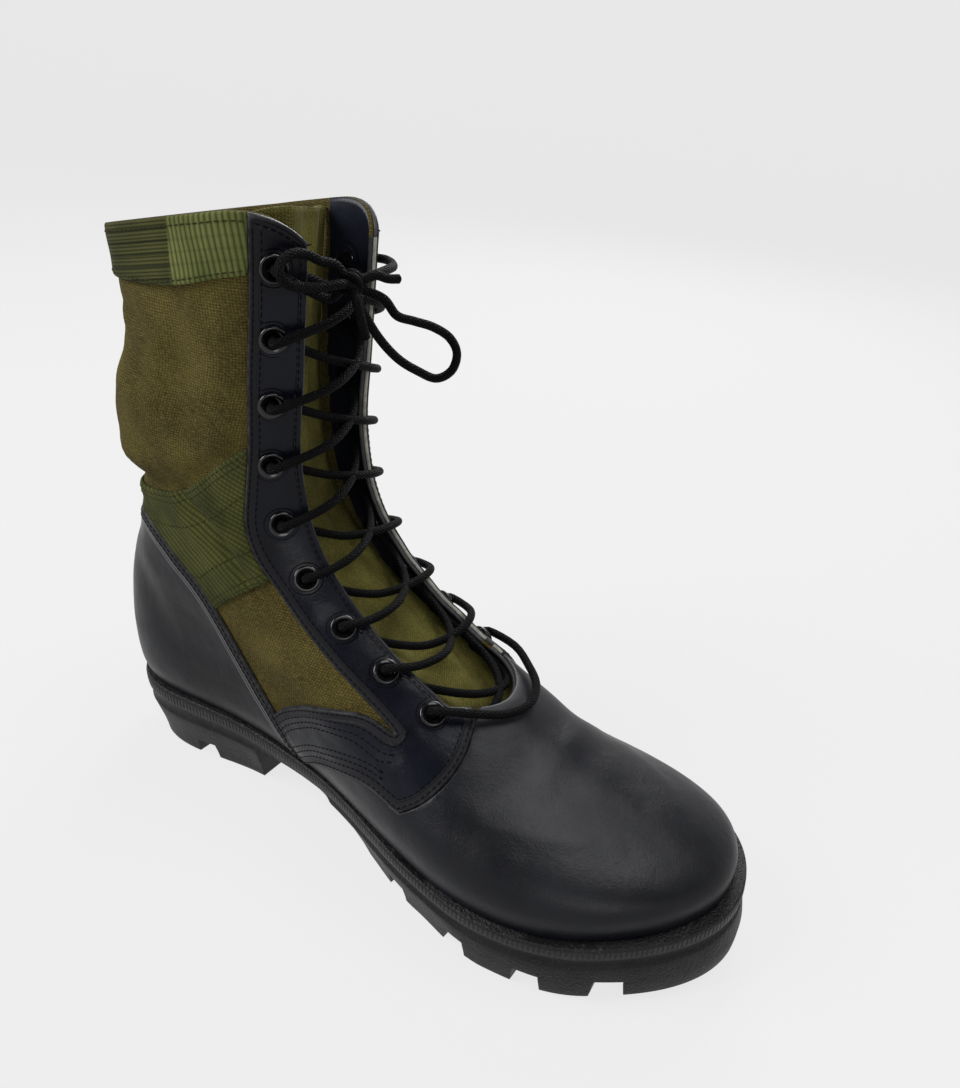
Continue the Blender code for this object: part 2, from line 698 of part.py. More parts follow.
def make_eyelets():
    """A turned rim and barrel in each hole, and the holes through facing and wall."""
    seat = JOINT_GAP + FACING_THICKNESS + EYELET_SEAT
    depth = seat + UPPER_WALL
    bore, barrel, rim = EYELET_HOLE / 2, EYELET_BARREL / 2, EYELET_RIM / 2
    top = EYELET_RIM_THICKNESS
    profile = (
        (bore, top * RIM_DISH), (rim * RIM_CROWN, top), (rim, 0.0), (barrel, 0.0), (barrel, -depth),
        (bore, -depth),
    )
    holes = bmesh.new()
    for name, side in (("lateral", -1), ("medial", 1)):
        for number, (t, theta) in enumerate(eyelet_spots(side), 1):
            mesh = bpy.data.meshes.new("eyelet")
            count = len(profile)
            edges = [(i, (i + 1) % count) for i in range(count)]
            mesh.from_pydata([(r, 0.0, z) for r, z in profile], edges, [])
            eyelet = place(f"eyelet_{name}_{number}", mesh, "enamel")
            eyelet.matrix_world = stand(t, theta, seat)
            turned = eyelet.modifiers.new("turned", "SCREW")
            turned.steps = turned.render_steps = EYELET_SEGMENTS
            turned.use_merge_vertices = True
            turned.merge_threshold = 0.00001
            width = EYELET_BARREL + 2 * SEAM_GAP
            bmesh.ops.create_cone(
                holes, cap_ends=True, segments=EYELET_SEGMENTS, radius1=width / 2, radius2=width / 2,
                depth=HOLE_REACH, matrix=stand(t, theta, 0.0),
            )
    mesh = bpy.data.meshes.new("cut_holes")
    holes.to_mesh(mesh)
    holes.free()
    cutter = place("cut_holes", mesh)
    for name in ("upper", "facing_lateral", "facing_medial"):
        cut(bpy.data.objects[name], cutter, "DIFFERENCE")


def tube(name, route, steps, roundness=2):
    """A round cord through the points of a route."""
    points = smooth(route, steps)
    curve = bpy.data.curves.new(name, "CURVE")
    curve.dimensions = "3D"
    curve.bevel_depth = LACE_THICKNESS / 2
    curve.bevel_resolution = roundness
    curve.use_fill_caps = True
    line = curve.splines.new("POLY")
    line.points.add(len(points) - 1)
    for spot, point in zip(line.points, points):
        spot.co = (*point, 1.0)
    guide = bpy.data.objects.new(name, curve)
    PARTS.objects.link(guide)
    curve.materials.append(material("cord"))
    return guide


def smooth(route, steps):
    """Points along a Catmull-Rom curve through a route, evenly shared between its points."""
    route = [Vector(point) for point in route]
    padded = [2 * route[0] - route[1]] + route + [2 * route[-1] - route[-2]]
    made = []
    for p0, p1, p2, p3 in zip(padded, padded[1:], padded[2:], padded[3:]):
        for k in range(steps):
            f = k / steps
            square = (2 * p0 - 5 * p1 + 4 * p2 - p3) * f * f
            cube = (3 * p1 - p0 - 3 * p2 + p3) * f**3
            made.append(0.5 * (2 * p1 + (p2 - p0) * f + square + cube))
    return made + [route[-1]]


def as_mesh(guide):
    """Swap a cord's curve for its mesh, with its end caps welded on."""
    mesh = bpy.data.meshes.new_from_object(guide.evaluated_get(bpy.context.evaluated_depsgraph_get()))
    welded = bmesh.new()
    welded.from_mesh(mesh)
    bmesh.ops.remove_doubles(welded, verts=welded.verts, dist=0.00001)
    welded.to_mesh(mesh)
    welded.free()
    name, frame = guide.name, guide.matrix_world.copy()
    bpy.data.objects.remove(guide)
    made = place(name, mesh, "cord")
    made.matrix_world = frame
    return made


def strand(low, high, heights):
    """A route from one eyelet across the throat to another, at heights above the last."""
    (t0, theta0), (t1, theta1) = low, high
    span = math.remainder(theta1 - theta0, 2 * math.pi)
    route = []
    for i, height in enumerate(heights):
        w = i / (len(heights) - 1)
        route.append(lifted(t0 + (t1 - t0) * w, theta0 + span * w, height))
    return route


def make_laces():
    """The bar over the lowest eyelets, then a crossing for each pair above it."""
    out, into = eyelet_spots(-1), eyelet_spots(1)
    top, over, under = LACE_TOP, LACE_OVER, LACE_UNDER
    bar = (top, top, over, over, over, over, over, top, top)
    lowest = (under, under, under, under * 0.9, under * 0.8, under * 0.9, under, under, under)
    usual = (top, top, over, over * 0.7, 0.5 * (over + under), under * 0.7, under, under, under)
    as_mesh(tube("lace_bar", strand(out[0], into[0], bar), 1))
    for k in range(EYELET_COUNT - 1):
        heights = usual if k else lowest
        name = f"lace_crossing_{k + 1}"
        first = as_mesh(tube(name, strand(out[k], into[k + 1], heights), 1, 1))
        second = as_mesh(tube(name + "_other", strand(into[k], out[k + 1], heights), 1, 1))
        PARTS.objects.unlink(second)
        CUTTERS.objects.link(second)
        second.hide_render = True
        second.display_type = "WIRE"
        cut(first, second, "UNION")


def make_bow():
    """The knot as one solid, and each tie, loop and end as a cord that stops just short of it."""
    built = bmesh.new()
    frame = Matrix.Translation(KNOT) @ Matrix.Diagonal((*KNOT_RADII, 1.0))
    bmesh.ops.create_icosphere(built, subdivisions=2, radius=1.0, matrix=frame)
    mesh = bpy.data.meshes.new("lace_knot")
    built.to_mesh(mesh)
    built.free()
    place("lace_knot", mesh, "cord")
    for name, route in LACE_ROUTES.items():
        tube(name, met(route), 2)
    for name, (side, route) in LACE_TIES.items():
        start = lifted(*eyelet_spots(side)[-1], LACE_TOP)
        tube(name, met((start, *route)), 2)


def met(route):
    """A route with its ends at the knot worked out: just outside its surface, towards the next point."""
    made = list(route)
    for i, beside in ((0, 1), (-1, -2)):
        if made[i] is KNOT_END:
            towards = (Vector(made[beside]) - Vector(KNOT)).normalized()
            reach = 1 / math.sqrt(sum((d / r) ** 2 for d, r in zip(towards, KNOT_RADII)))
            made[i] = Vector(KNOT) + towards * (reach + JOINT_GAP)
    return made


for old in list(bpy.data.objects):
    bpy.data.objects.remove(old)
PARTS = bpy.data.collections.new("jungle_boot")
CUTTERS = bpy.data.collections.new("cutters")
bpy.context.scene.collection.children.link(PARTS)
bpy.context.scene.collection.children.link(CUTTERS)

make_outsole()
make_insole()
make_upper()
make_tongue()
make_overlays()
make_eyelets()
make_laces()
make_bow()
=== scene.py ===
import math

import bmesh
import bpy
import numpy as np
from mathutils import Matrix, Vector, noise


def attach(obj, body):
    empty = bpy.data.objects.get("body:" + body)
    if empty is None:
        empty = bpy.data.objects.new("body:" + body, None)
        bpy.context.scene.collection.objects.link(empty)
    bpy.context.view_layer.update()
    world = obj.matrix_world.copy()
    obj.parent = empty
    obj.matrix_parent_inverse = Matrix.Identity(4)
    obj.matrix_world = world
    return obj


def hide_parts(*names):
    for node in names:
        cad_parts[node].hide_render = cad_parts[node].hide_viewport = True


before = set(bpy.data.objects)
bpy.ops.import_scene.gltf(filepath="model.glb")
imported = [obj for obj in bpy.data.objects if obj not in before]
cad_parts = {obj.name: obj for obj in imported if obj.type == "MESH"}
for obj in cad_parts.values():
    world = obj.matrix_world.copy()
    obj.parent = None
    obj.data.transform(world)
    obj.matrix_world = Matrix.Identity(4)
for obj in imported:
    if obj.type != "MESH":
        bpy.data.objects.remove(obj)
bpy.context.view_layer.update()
scene = bpy.context.scene
print("frame loaded")


# the camera stands where the photograph was taken, a little rolled
camera = {
    "place": (0.2881, -0.2664, 0.3173),
    "right": (0.8427, 0.5321, 0.0815),
    "up": (-0.3163, 0.3669, 0.8749),
    "back": (0.4356, -0.7631, 0.4775),
    "lens": 30.0,
    "sensor": 36.0,
}


def makeCamera(size):
    data = bpy.data.cameras.new("camera")
    data.lens = size["lens"]
    data.sensor_width = size["sensor"]
    data.clip_start = 0.01
    made = bpy.data.objects.new("camera", data)
    turn = Matrix((size["right"], size["up"], size["back"])).transposed().to_4x4()
    turn.translation = size["place"]
    made.matrix_world = turn
    scene.collection.objects.link(made)
    scene.camera = made


makeCamera(camera)
print("camera placed")


# the last, as the CAD model has it, in metres
last = {
    "soleLength": 0.312, "ballWidth": 0.106, "collarHeight": 0.262, "heelToOrigin": 0.045, "toeSwing": 0.012,
    "gap": 0.0003, "throatRing": 5.0, "topRing": 10.0, "cornerDrop": 0.30, "cornerShare": 0.25,
}
ringColumns = (
    "back", "backRise", "front", "frontRise", "heel",
    "waistOut", "waistIn", "ballOut", "ballIn", "toeOut", "toeIn", "edgeOut", "edgeIn",
)
ringRows = np.array((
    (0.028, 0.142, 0.965, 0.122, 0.345, 0.34, 0.25, 0.550, 0.380, 0.425, 0.40, 0.22, 0.36),
    (0.018, 0.180, 0.964, 0.158, 0.370, 0.37, 0.28, 0.570, 0.385, 0.435, 0.38, 0.22, 0.36),
    (0.010, 0.235, 0.942, 0.180, 0.370, 0.37, 0.29, 0.550, 0.355, 0.405, 0.33, 0.22, 0.36),
    (0.006, 0.290, 0.885, 0.204, 0.355, 0.36, 0.30, 0.480, 0.300, 0.320, 0.25, 0.24, 0.36),
    (0.010, 0.352, 0.790, 0.235, 0.340, 0.36, 0.31, 0.420, 0.280, 0.260, 0.23, 0.26, 0.36),
    (0.021, 0.408, 0.635, 0.308, 0.320, 0.36, 0.32, 0.360, 0.280, 0.230, 0.23, 0.26, 0.36),
    (0.038, 0.465, 0.480, 0.392, 0.290, 0.36, 0.33, 0.350, 0.300, 0.240, 0.26, 0.20, 0.32),
    (0.052, 0.530, 0.378, 0.500, 0.290, 0.35, 0.34, 0.350, 0.330, 0.250, 0.28, 0.17, 0.29),
    (0.026, 0.650, 0.345, 0.640, 0.310, 0.38, 0.36, 0.370, 0.325, 0.270, 0.28, 0.17, 0.26),
    (0.060, 0.790, 0.350, 0.795, 0.310, 0.39, 0.37, 0.380, 0.310, 0.270, 0.27, 0.17, 0.27),
    (0.054, 0.940, 0.358, 1.020, 0.320, 0.40, 0.38, 0.390, 0.310, 0.280, 0.27, 0.17, 0.27),
))
soleTopRows = ((0.15, 0.037), (0.42, 0.032), (0.72, 0.027), (1.0, 0.032))
stationAngles = np.arccos(1 - 2 * np.array((0.10, 0.40, 0.70, 0.90)))
sineInverse = np.linalg.inv(np.sin(np.outer(stationAngles, (1, 2, 3, 4))))


def spline(p0, p1, p2, p3, f):
    square = (2 * p0 - 5 * p1 + 4 * p2 - p3) * f * f
    cube = (3 * p1 - p0 - 3 * p2 + p3) * f**3
    return 0.5 * (2 * p1 + (p2 - p0) * f + square + cube)


def column(name, t):
    values = ringRows[:, ringColumns.index(name)]
    end = len(values) - 1
    t = np.asarray(t, float)
    i = np.clip(np.floor(t), 0, end - 1).astype(int)
    f = t - i
    return spline(*(values[np.clip(i + k, 0, end)] for k in (-1, 0, 1, 2)), f)


def along(share):
    return share * last["soleLength"] - last["heelToOrigin"]


def spine(x):
    share = (x + last["heelToOrigin"]) / last["soleLength"]
    return last["toeSwing"] * share * share


def eased(x, points):
    xs, ys = np.array([p[0] for p in points]), np.array([p[1] for p in points])
    i = np.clip(np.searchsorted(xs, x) - 1, 0, len(xs) - 2)
    f = np.clip((x - xs[i]) / (xs[i + 1] - xs[i]), 0, 1)
    return ys[i] + (ys[i + 1] - ys[i]) * f * f * (3 - 2 * f)


def soleTop(x):
    return eased(x, [(along(share), height) for share, height in soleTopRows])


def ringPoint(t, theta):
    t, theta = np.broadcast_arrays(np.asarray(t, float), np.asarray(theta, float))
    theta = np.remainder(theta + np.pi, 2 * np.pi) - np.pi
    inner = theta > 0
    widths = [column("heel", t)]
    widths += [
        np.where(inner, column(name + "In", t), column(name + "Out", t)) for name in ("waist", "ball", "toe")
    ]
    terms = np.einsum("kj,j...->k...", sineInverse, np.array(widths)) * last["ballWidth"]
    s = 0.5 - 0.5 * np.cos(theta)
    low, high = column("backRise", t), column("frontRise", t)
    x = along(column("back", t) + (column("front", t) - column("back", t)) * s)
    half = sum(terms[k] * np.sin((k + 1) * np.abs(theta)) for k in range(4))
    level = (low + (high - low) * s) * last["collarHeight"]
    foot = ringRows[0][1] + (ringRows[0][3] - ringRows[0][1]) * s
    level = level + np.maximum(0, 1 - t / 3) * (soleTop(x) + last["gap"] - foot * last["collarHeight"])
    return np.stack([x, spine(x) + np.sign(theta) * half, level], -1)


def unit(v):
    return v / np.maximum(np.linalg.norm(v, axis=-1, keepdims=True), 1e-12)


normalStep = 0.02  # rings and radians, to find which way the surface faces
levelRings = 0.6  # below this ring the way outward turns level


def outward(t, theta):
    step = normalStep
    up = ringPoint(np.minimum(t + step, last["topRing"]), theta) - ringPoint(np.maximum(t - step, 0), theta)
    around = ringPoint(t, theta + step) - ringPoint(t, theta - step)
    normal = np.cross(up, around)
    normal[..., 2] *= np.minimum(1, t / levelRings)
    return unit(normal)


def lifted(t, theta, height):
    t = np.asarray(t, float)
    return ringPoint(t, theta) + outward(t, theta) * np.asarray(height)[..., None]


def fromFront(t, side, reach):
    steps = np.arange(49) / 48
    points = ringPoint(t[:, None], side * np.pi * (1 - 0.6 * steps)[None, :])
    strides = np.linalg.norm(np.diff(points, axis=1), axis=-1)
    walked = np.concatenate([np.zeros((len(t), 1)), np.cumsum(strides, axis=1)], axis=1)
    return np.array([side * np.pi * (1 - 0.6 * np.interp(r, w, steps)) for r, w in zip(reach, walked)])


def fromEdge(t, side, distance):
    t = np.atleast_1d(np.asarray(t, float))
    edge = column("edgeIn" if side > 0 else "edgeOut", t) * last["ballWidth"]
    return fromFront(t, side, edge + distance)


def smooth(route, steps):
    route = [np.array(point, float) for point in route]
    padded = [2 * route[0] - route[1]] + route + [2 * route[-1] - route[-2]]
    made = []
    for corners in zip(padded, padded[1:], padded[2:], padded[3:]):
        made += [spline(*corners, k / steps) for k in range(steps)]
    return np.array(made + [route[-1]])


def walk(points):
    return np.concatenate([[0], np.cumsum(np.linalg.norm(np.diff(points, axis=0), axis=1))])


# shader maths: a wire is a socket that can be added, multiplied and so on
class Wire:
    def __init__(self, tree, socket):
        self.tree = tree
        self.socket = socket

    def sum(self, operation, *values):
        return makeNode(self.tree, "ShaderNodeMath", {"operation": operation}, values)

    def __add__(self, other):
        return self.sum("ADD", self, other)

    def __sub__(self, other):
        return self.sum("SUBTRACT", self, other)

    def __rsub__(self, other):
        return self.sum("SUBTRACT", other, self)

    def __mul__(self, other):
        return self.sum("MULTIPLY", self, other)

    __radd__ = __add__
    __rmul__ = __mul__

    def sine(self):
        return self.sum("SINE", self)

    def size(self):
        return self.sum("ABSOLUTE", self)

    def rises(self, low, high):
        settings = {"interpolation_type": "SMOOTHSTEP"}
        return makeNode(
            self.tree, "ShaderNodeMapRange", settings, {"Value": self, "From Min": low, "From Max": high},
        )

    def band(self, centre, width):  # 1 on a line, 0 away from it
        return 1 - (self - centre).size().rises(width * 0.5, width)


def makeNode(tree, kind, settings=None, values=None, output=0):
    node = tree.nodes.new(kind)
    for name, value in (settings or {}).items():
        setattr(node, name, value)
    pairs = values.items() if isinstance(values, dict) else enumerate(values or ())
    for key, value in pairs:
        if isinstance(value, Wire):
            tree.links.new(value.socket, node.inputs[key])
        elif node.inputs[key].type == "RGBA":
            node.inputs[key].default_value = (*value, 1.0)
        else:
            node.inputs[key].default_value = value
    return Wire(tree, node.outputs[output]) if node.outputs else None


def mixed(tree, factor, first, second):
    return makeNode(tree, "ShaderNodeMix", {"data_type": "RGBA"}, {0: factor, 6: first, 7: second}, 2)


def attribute(tree, name):
    return makeNode(tree, "ShaderNodeAttribute", {"attribute_name": name}, None, "Fac")


def objectPlace(tree):
    return makeNode(tree, "ShaderNodeTexCoord", None, None, "Object")


def parts(tree, vector):
    split = makeNode(tree, "ShaderNodeSeparateXYZ", None, (vector,)).socket.node
    return [Wire(tree, output) for output in split.outputs]


def flatPlace(tree, name):
    return parts(tree, makeNode(tree, "ShaderNodeUVMap", {"uv_map": name}))[:2]


def cloud(tree, scale, detail=3.0, rough=0.5, stretch=None):
    place = objectPlace(tree)
    if stretch:
        place = makeNode(tree, "ShaderNodeMapping", None, {"Vector": place, "Scale": stretch})
    return makeNode(
        tree, "ShaderNodeTexNoise", None,
        {"Vector": place, "Scale": scale, "Detail": detail, "Roughness": rough},
    )


def cells(tree, scale):
    return makeNode(tree, "ShaderNodeTexVoronoi", None, {"Vector": objectPlace(tree), "Scale": scale})


def finished(name, colour, rough, height, distance, fixed):
    made = bpy.data.materials.new(name)
    made.use_nodes = True
    tree = made.node_tree
    shader = tree.nodes["Principled BSDF"]
    values = {"Base Color": colour(tree), "Roughness": rough(tree)}
    bump = makeNode(
        tree, "ShaderNodeBump", None, {"Height": height(tree), "Distance": distance, "Strength": 1.0},
    )
    values["Normal"] = bump
    for key, value in values.items():
        tree.links.new(value.socket, shader.inputs[key])
    for key, value in fixed.items():
        shader.inputs[key].default_value = value
    return made


def thread(tree, pitch):  # plain weave over the cloth's own map, which is in metres
    u, v = flatPlace(tree, "cloth")
    a, b = (u * (math.pi / pitch[0])).sine(), (v * (math.pi / pitch[1])).sine()
    over = (a * b * 1.6).rises(-0.6, 0.6)
    return (b.size() * over + a.size() * (1 - over)).rises(0.25, 0.95)


def weave(name, size):
    def colour(tree):
        wear = cloud(tree, size["patch"], 4.0, 0.55).rises(0.35, 0.68)
        tone = mixed(tree, wear, size["dark"], size["light"])
        slub = cloud(tree, 520.0, 2.0, 0.6, (1.0, 1.0, 3.5)).rises(0.3, 0.75)
        tone = mixed(tree, slub * 0.6, tone, size["fleck"])
        speck = cloud(tree, 1100.0, 2.0, 0.6).rises(0.42, 0.62)
        tone = mixed(tree, speck * 0.35, tone, size["shade"])
        return mixed(tree, (1 - thread(tree, size["pitch"])) * 0.5, tone, size["shade"])

    def rough(tree):
        return cloud(tree, 120.0) * 0.1 + 0.86

    def height(tree):
        return thread(tree, size["pitch"]) * 0.7 + cloud(tree, 900.0) * 0.35

    return finished(name, colour, rough, height, size["depth"], {"Specular IOR Level": 0.1})


canvas = {
    "dark": (0.036, 0.027, 0.006), "light": (0.083, 0.066, 0.015), "fleck": (0.128, 0.104, 0.032),
    "shade": (0.014, 0.011, 0.002), "patch": 34.0, "pitch": (0.00125, 0.00110), "depth": 0.00034,
}
lining = dict(canvas, dark=(0.052, 0.040, 0.012), light=(0.075, 0.060, 0.020), patch=25.0)
tongueCanvas = dict(canvas, dark=(0.060, 0.058, 0.011), light=(0.160, 0.150, 0.036), pitch=(0.0012, 0.0012))
canvasCloth = weave("canvasCloth", canvas)
liningCloth = weave("liningCloth", lining)
tongueCloth = weave("tongueCloth", tongueCanvas)


def tape(name, size):  # ribbed webbing: ribs along or across it, and a rear part with the other ribs
    def inFront(tree):
        blend = 0.0008
        return parts(tree, objectPlace(tree))[0].rises(size["change"] - blend, size["change"] + blend)

    def ribs(tree):
        u, v = flatPlace(tree, "cloth")
        line = u * size["lean"][0] + v * size["lean"][1]
        across = u * size["lean"][1] - v * size["lean"][0]
        main = (line * (math.pi / size["rib"])).sine().size()
        fine = (across * (math.pi / size["pick"])).sine().size()
        if "change" not in size:
            return main * (fine * 0.35 + 0.65)
        front = inFront(tree)
        other = (u * (math.pi / size["front"])).sine().size() * (fine * 0.2 + 0.8)
        return main * (fine * 0.35 + 0.65) * (1 - front) + other * front

    def colour(tree):
        patch = cloud(tree, 40.0, 4.0, 0.55).rises(0.3, 0.7)
        tone = mixed(tree, patch, size["dark"], size["light"])
        if "change" in size:
            front = inFront(tree)
            tone = mixed(tree, front, tone, mixed(tree, patch, size["frontDark"], size["frontLight"]))
            v = flatPlace(tree, "cloth")[1]
            for level in size["lines"]:
                tone = mixed(tree, v.band(-level, 0.0007) * (0.85 - front * 0.70), tone, size["shade"])
        return mixed(tree, (1 - ribs(tree)) * 0.75, tone, size["shade"])

    def rough(tree):
        return cloud(tree, 150.0) * 0.12 + 0.8

    def height(tree):
        return ribs(tree) + cloud(tree, 700.0) * 0.25

    return finished(name, colour, rough, height, 0.00035, {"Specular IOR Level": 0.12})


collarLook = {
    "dark": (0.030, 0.031, 0.008), "light": (0.052, 0.052, 0.014), "shade": (0.009, 0.011, 0.002),
    "frontDark": (0.066, 0.078, 0.020), "frontLight": (0.122, 0.134, 0.042), "change": 0.0243,
    "rib": 0.0013, "pick": 0.0014, "front": 0.0021, "lean": (0.0, 1.0),
    "lines": (0.0032, 0.0076, 0.0118, 0.0160, 0.0208, 0.0250),
}
ankleLook = {
    "dark": (0.022, 0.025, 0.006), "light": (0.058, 0.060, 0.014), "shade": (0.006, 0.008, 0.001),
    "rib": 0.0021, "pick": 0.0016, "lean": (-0.50, 0.87),
}
collarCloth = tape("collarCloth", collarLook)
ankleCloth = tape("ankleCloth", ankleLook)


def hide(name, size):  # leather: fine grain, soft sheen, a matt border and pale pressed lines along its edge
    def border(tree):
        return 1 - attribute(tree, "border").rises(size["border"] * 0.92, size["border"] * 1.05)

    def colour(tree):
        tone = mixed(tree, cloud(tree, 30.0, 5.0, 0.6).rises(0.3, 0.75), size["dark"], size["light"])
        tone = mixed(tree, border(tree) * size["strip"], tone, size["stripColour"])
        rubbed = 1 - attribute(tree, "edge").rises(0.0002, 0.0012)
        worn = rubbed * cloud(tree, 260.0, 4.0, 0.7).rises(0.35, 0.7)
        tone = mixed(tree, worn * size["wear"], tone, size["wornColour"])
        for level in size["lines"]:
            tone = mixed(tree, attribute(tree, "border").band(level, 0.0005) * 0.55, tone, size["wornColour"])
        return tone

    def rough(tree):
        soft = cloud(tree, 55.0, 4.0, 0.6).rises(0.25, 0.8)
        return soft * size["spread"] + size["gloss"] + border(tree) * size["strip"] * 0.28

    def height(tree):
        grain = cells(tree, size["grain"]) * 0.55 + cloud(tree, size["grain"] * 1.7, 3.0, 0.7) * 0.8
        seam = attribute(tree, "edge").band(size["seam"], 0.0012)
        return (
            grain * 0.26 - seam * 1.4 + cloud(tree, 95.0, 3.0, 0.5) * 1.2
            + cloud(tree, 34.0, 2.0, 0.5) * size["waves"] * 2.2
        )

    return finished(
        name, colour, rough, height, 0.00028,
        {"Specular IOR Level": size["shine"], "Coat Roughness": 0.3, "Coat Weight": size["coat"]},
    )


plainHide = {
    "dark": (0.0012, 0.0013, 0.0022), "light": (0.0040, 0.0043, 0.0062), "border": 0.0, "strip": 0.0,
    "stripColour": (0.005, 0.005, 0.0065), "wear": 0.24, "wornColour": (0.11, 0.11, 0.115), "lines": (),
    "gloss": 0.36, "spread": 0.12, "grain": 1100.0, "seam": -1.0, "coat": 0.03, "shine": 0.13, "waves": 1.0,
}
counterHide = hide(
    "counterHide",
    dict(plainHide, border=0.0045, strip=1.0, lines=(0.0050, 0.0066), seam=0.0030, gloss=0.33, shine=0.20),
)
facingHide = hide("facingHide", dict(
    plainHide, dark=(0.0010, 0.0012, 0.0030), light=(0.0034, 0.0042, 0.0085), border=0.0042, strip=0.8,
    gloss=0.24, coat=0.05, seam=0.0026, waves=2.6,
))
vampHide = hide(
    "vampHide",
    dict(
        plainHide, dark=(0.0014, 0.0016, 0.0030), light=(0.0044, 0.0048, 0.0074), gloss=0.34, waves=0.5,
        shine=0.20,
    ),
)
fleshHide = hide(
    "fleshHide", dict(plainHide, dark=(0.016, 0.018, 0.026), light=(0.026, 0.029, 0.040), gloss=0.5, coat=0.0)
)
flapHide = hide("flapHide", dict(
    plainHide, dark=(0.004, 0.0048, 0.009), light=(0.011, 0.013, 0.021), gloss=0.28, coat=0.06, seam=0.0026,
    waves=2.0,
))


def simple(name, size):
    def colour(tree):
        return mixed(tree, cloud(tree, size["patch"], 5.0, 0.6).rises(0.3, 0.7), size["dark"], size["light"])

    def rough(tree):
        return cloud(tree, size["patch"] * 2.2) * size["spread"] + size["gloss"]

    def height(tree):
        return cloud(tree, size["grain"], 4.0, 0.65)

    return finished(name, colour, rough, height, size["depth"], size["fixed"])


cutEdge = {
    "dark": (0.20, 0.19, 0.165), "light": (0.42, 0.40, 0.36), "patch": 300.0, "spread": 0.1, "gloss": 0.75,
    "grain": 900.0, "depth": 0.0003, "fixed": {},
}
rawEdge = simple("rawEdge", cutEdge)
darkEdge = simple(
    "darkEdge", dict(cutEdge, dark=(0.010, 0.010, 0.012), light=(0.030, 0.030, 0.033), gloss=0.6),
)
# rubber tones; the pale colour serves as dust in the specks and as a painted highlight on the ledge's rib
# crests
rubberLook = {
    "dark": (0.0016, 0.0016, 0.0021), "light": (0.0060, 0.0060, 0.0068), "dustAndSheen": (0.060, 0.060, 0.062),
    "rib": 0.0019,
}


def moulded(name, size):
    def ribs(tree):
        ledge = attribute(tree, "rise").rises(0.80, 0.83) * (1 - attribute(tree, "rise").rises(0.93, 0.96))
        return (attribute(tree, "arc") * (math.pi / size["rib"])).sine().size() * ledge

    def colour(tree):
        tone = mixed(tree, cloud(tree, 60.0, 5.0, 0.6).rises(0.3, 0.7), size["dark"], size["light"])
        speck = cloud(tree, 900.0, 2.0, 0.7).rises(0.58, 0.72) * cloud(tree, 70.0, 3.0, 0.6).rises(0.35, 0.65)
        # pale dust in specks, and the ledge's raised ribs lightened: a painted highlight
        return mixed(tree, speck * 0.5 + ribs(tree) * 0.18, tone, size["dustAndSheen"])

    def rough(tree):
        return cloud(tree, 130.0) * 0.16 + 0.42

    def height(tree):
        return cloud(tree, 620.0, 3.0, 0.65) * 0.5 + cells(tree, 1000.0) * 0.4 + ribs(tree) * 0.9

    return finished(name, colour, rough, height, 0.00055, {"Specular IOR Level": 0.2})


soleRubber = moulded("soleRubber", rubberLook)
ringEnamel = simple("ringEnamel", {
    "dark": (0.001, 0.001, 0.0012), "light": (0.004, 0.004, 0.0045), "patch": 400.0, "spread": 0.10,
    "gloss": 0.14, "grain": 500.0, "depth": 0.00005,
    "fixed": {"Specular IOR Level": 0.35, "Coat Weight": 0.15, "Coat Roughness": 0.08},
})
insoleCloth = simple("insoleCloth", dict(
    cutEdge, dark=(0.13, 0.10, 0.065), light=(0.22, 0.175, 0.12), patch=45.0, gloss=0.8, grain=700.0,
))
threadLook = {
    "dark": (0.0008, 0.0008, 0.001), "light": (0.003, 0.003, 0.0034), "patch": 900.0, "spread": 0.1,
    "gloss": 0.7, "grain": 2500.0, "depth": 0.0001, "fixed": {"Specular IOR Level": 0.06},
}
darkThread = simple("darkThread", threadLook)
oliveThread = simple("oliveThread", dict(
    threadLook, dark=(0.014, 0.016, 0.004), light=(0.030, 0.032, 0.009), gloss=0.8,
    fixed={"Specular IOR Level": 0.1},
))


def braid():
    pitch, turns = 0.0021, 8.0

    def strands(tree):
        u, v = flatPlace(tree, "cord")
        one = (u * (math.pi / pitch) + v * (math.pi * turns)).sine().size()
        other = (u * (math.pi / pitch) - v * (math.pi * turns)).sine().size()
        return one * other

    def colour(tree):
        # lighter on the strands' crests and darker in the grooves between them: painted shade
        return mixed(tree, strands(tree), (0.0006, 0.0006, 0.0008), (0.0038, 0.0038, 0.0046))

    def rough(tree):
        return cloud(tree, 500.0) * 0.15 + 0.55

    def height(tree):
        return strands(tree) + cloud(tree, 2500.0) * 0.3

    return finished("braidedCord", colour, rough, height, 0.0005, {"Specular IOR Level": 0.06})


braidedCord = braid()
print("materials made")


def keep(name, mesh, materials, nodes=(), smoothed=True):
    made = bpy.data.objects.new(name, mesh)
    scene.collection.objects.link(made)
    for each in materials:
        mesh.materials.append(each)
    if smoothed:
        mesh.shade_smooth()
    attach(made, "root")
    if nodes:
        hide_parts(*nodes)
    return made


def faceOut(mesh):
    turned = bmesh.new()
    turned.from_mesh(mesh)
    bmesh.ops.recalc_face_normals(turned, faces=turned.faces)
    turned.to_mesh(mesh)
    turned.free()


def closedMesh(name, points, faces):
    mesh = bpy.data.meshes.new(name)
    mesh.from_pydata(points, [], faces)
    faceOut(mesh)
    return mesh


# how a cord's ends are rounded, in shares of its radius
cordEnd = {"ring": 0.55, "back": 0.35, "tip": 0.45}


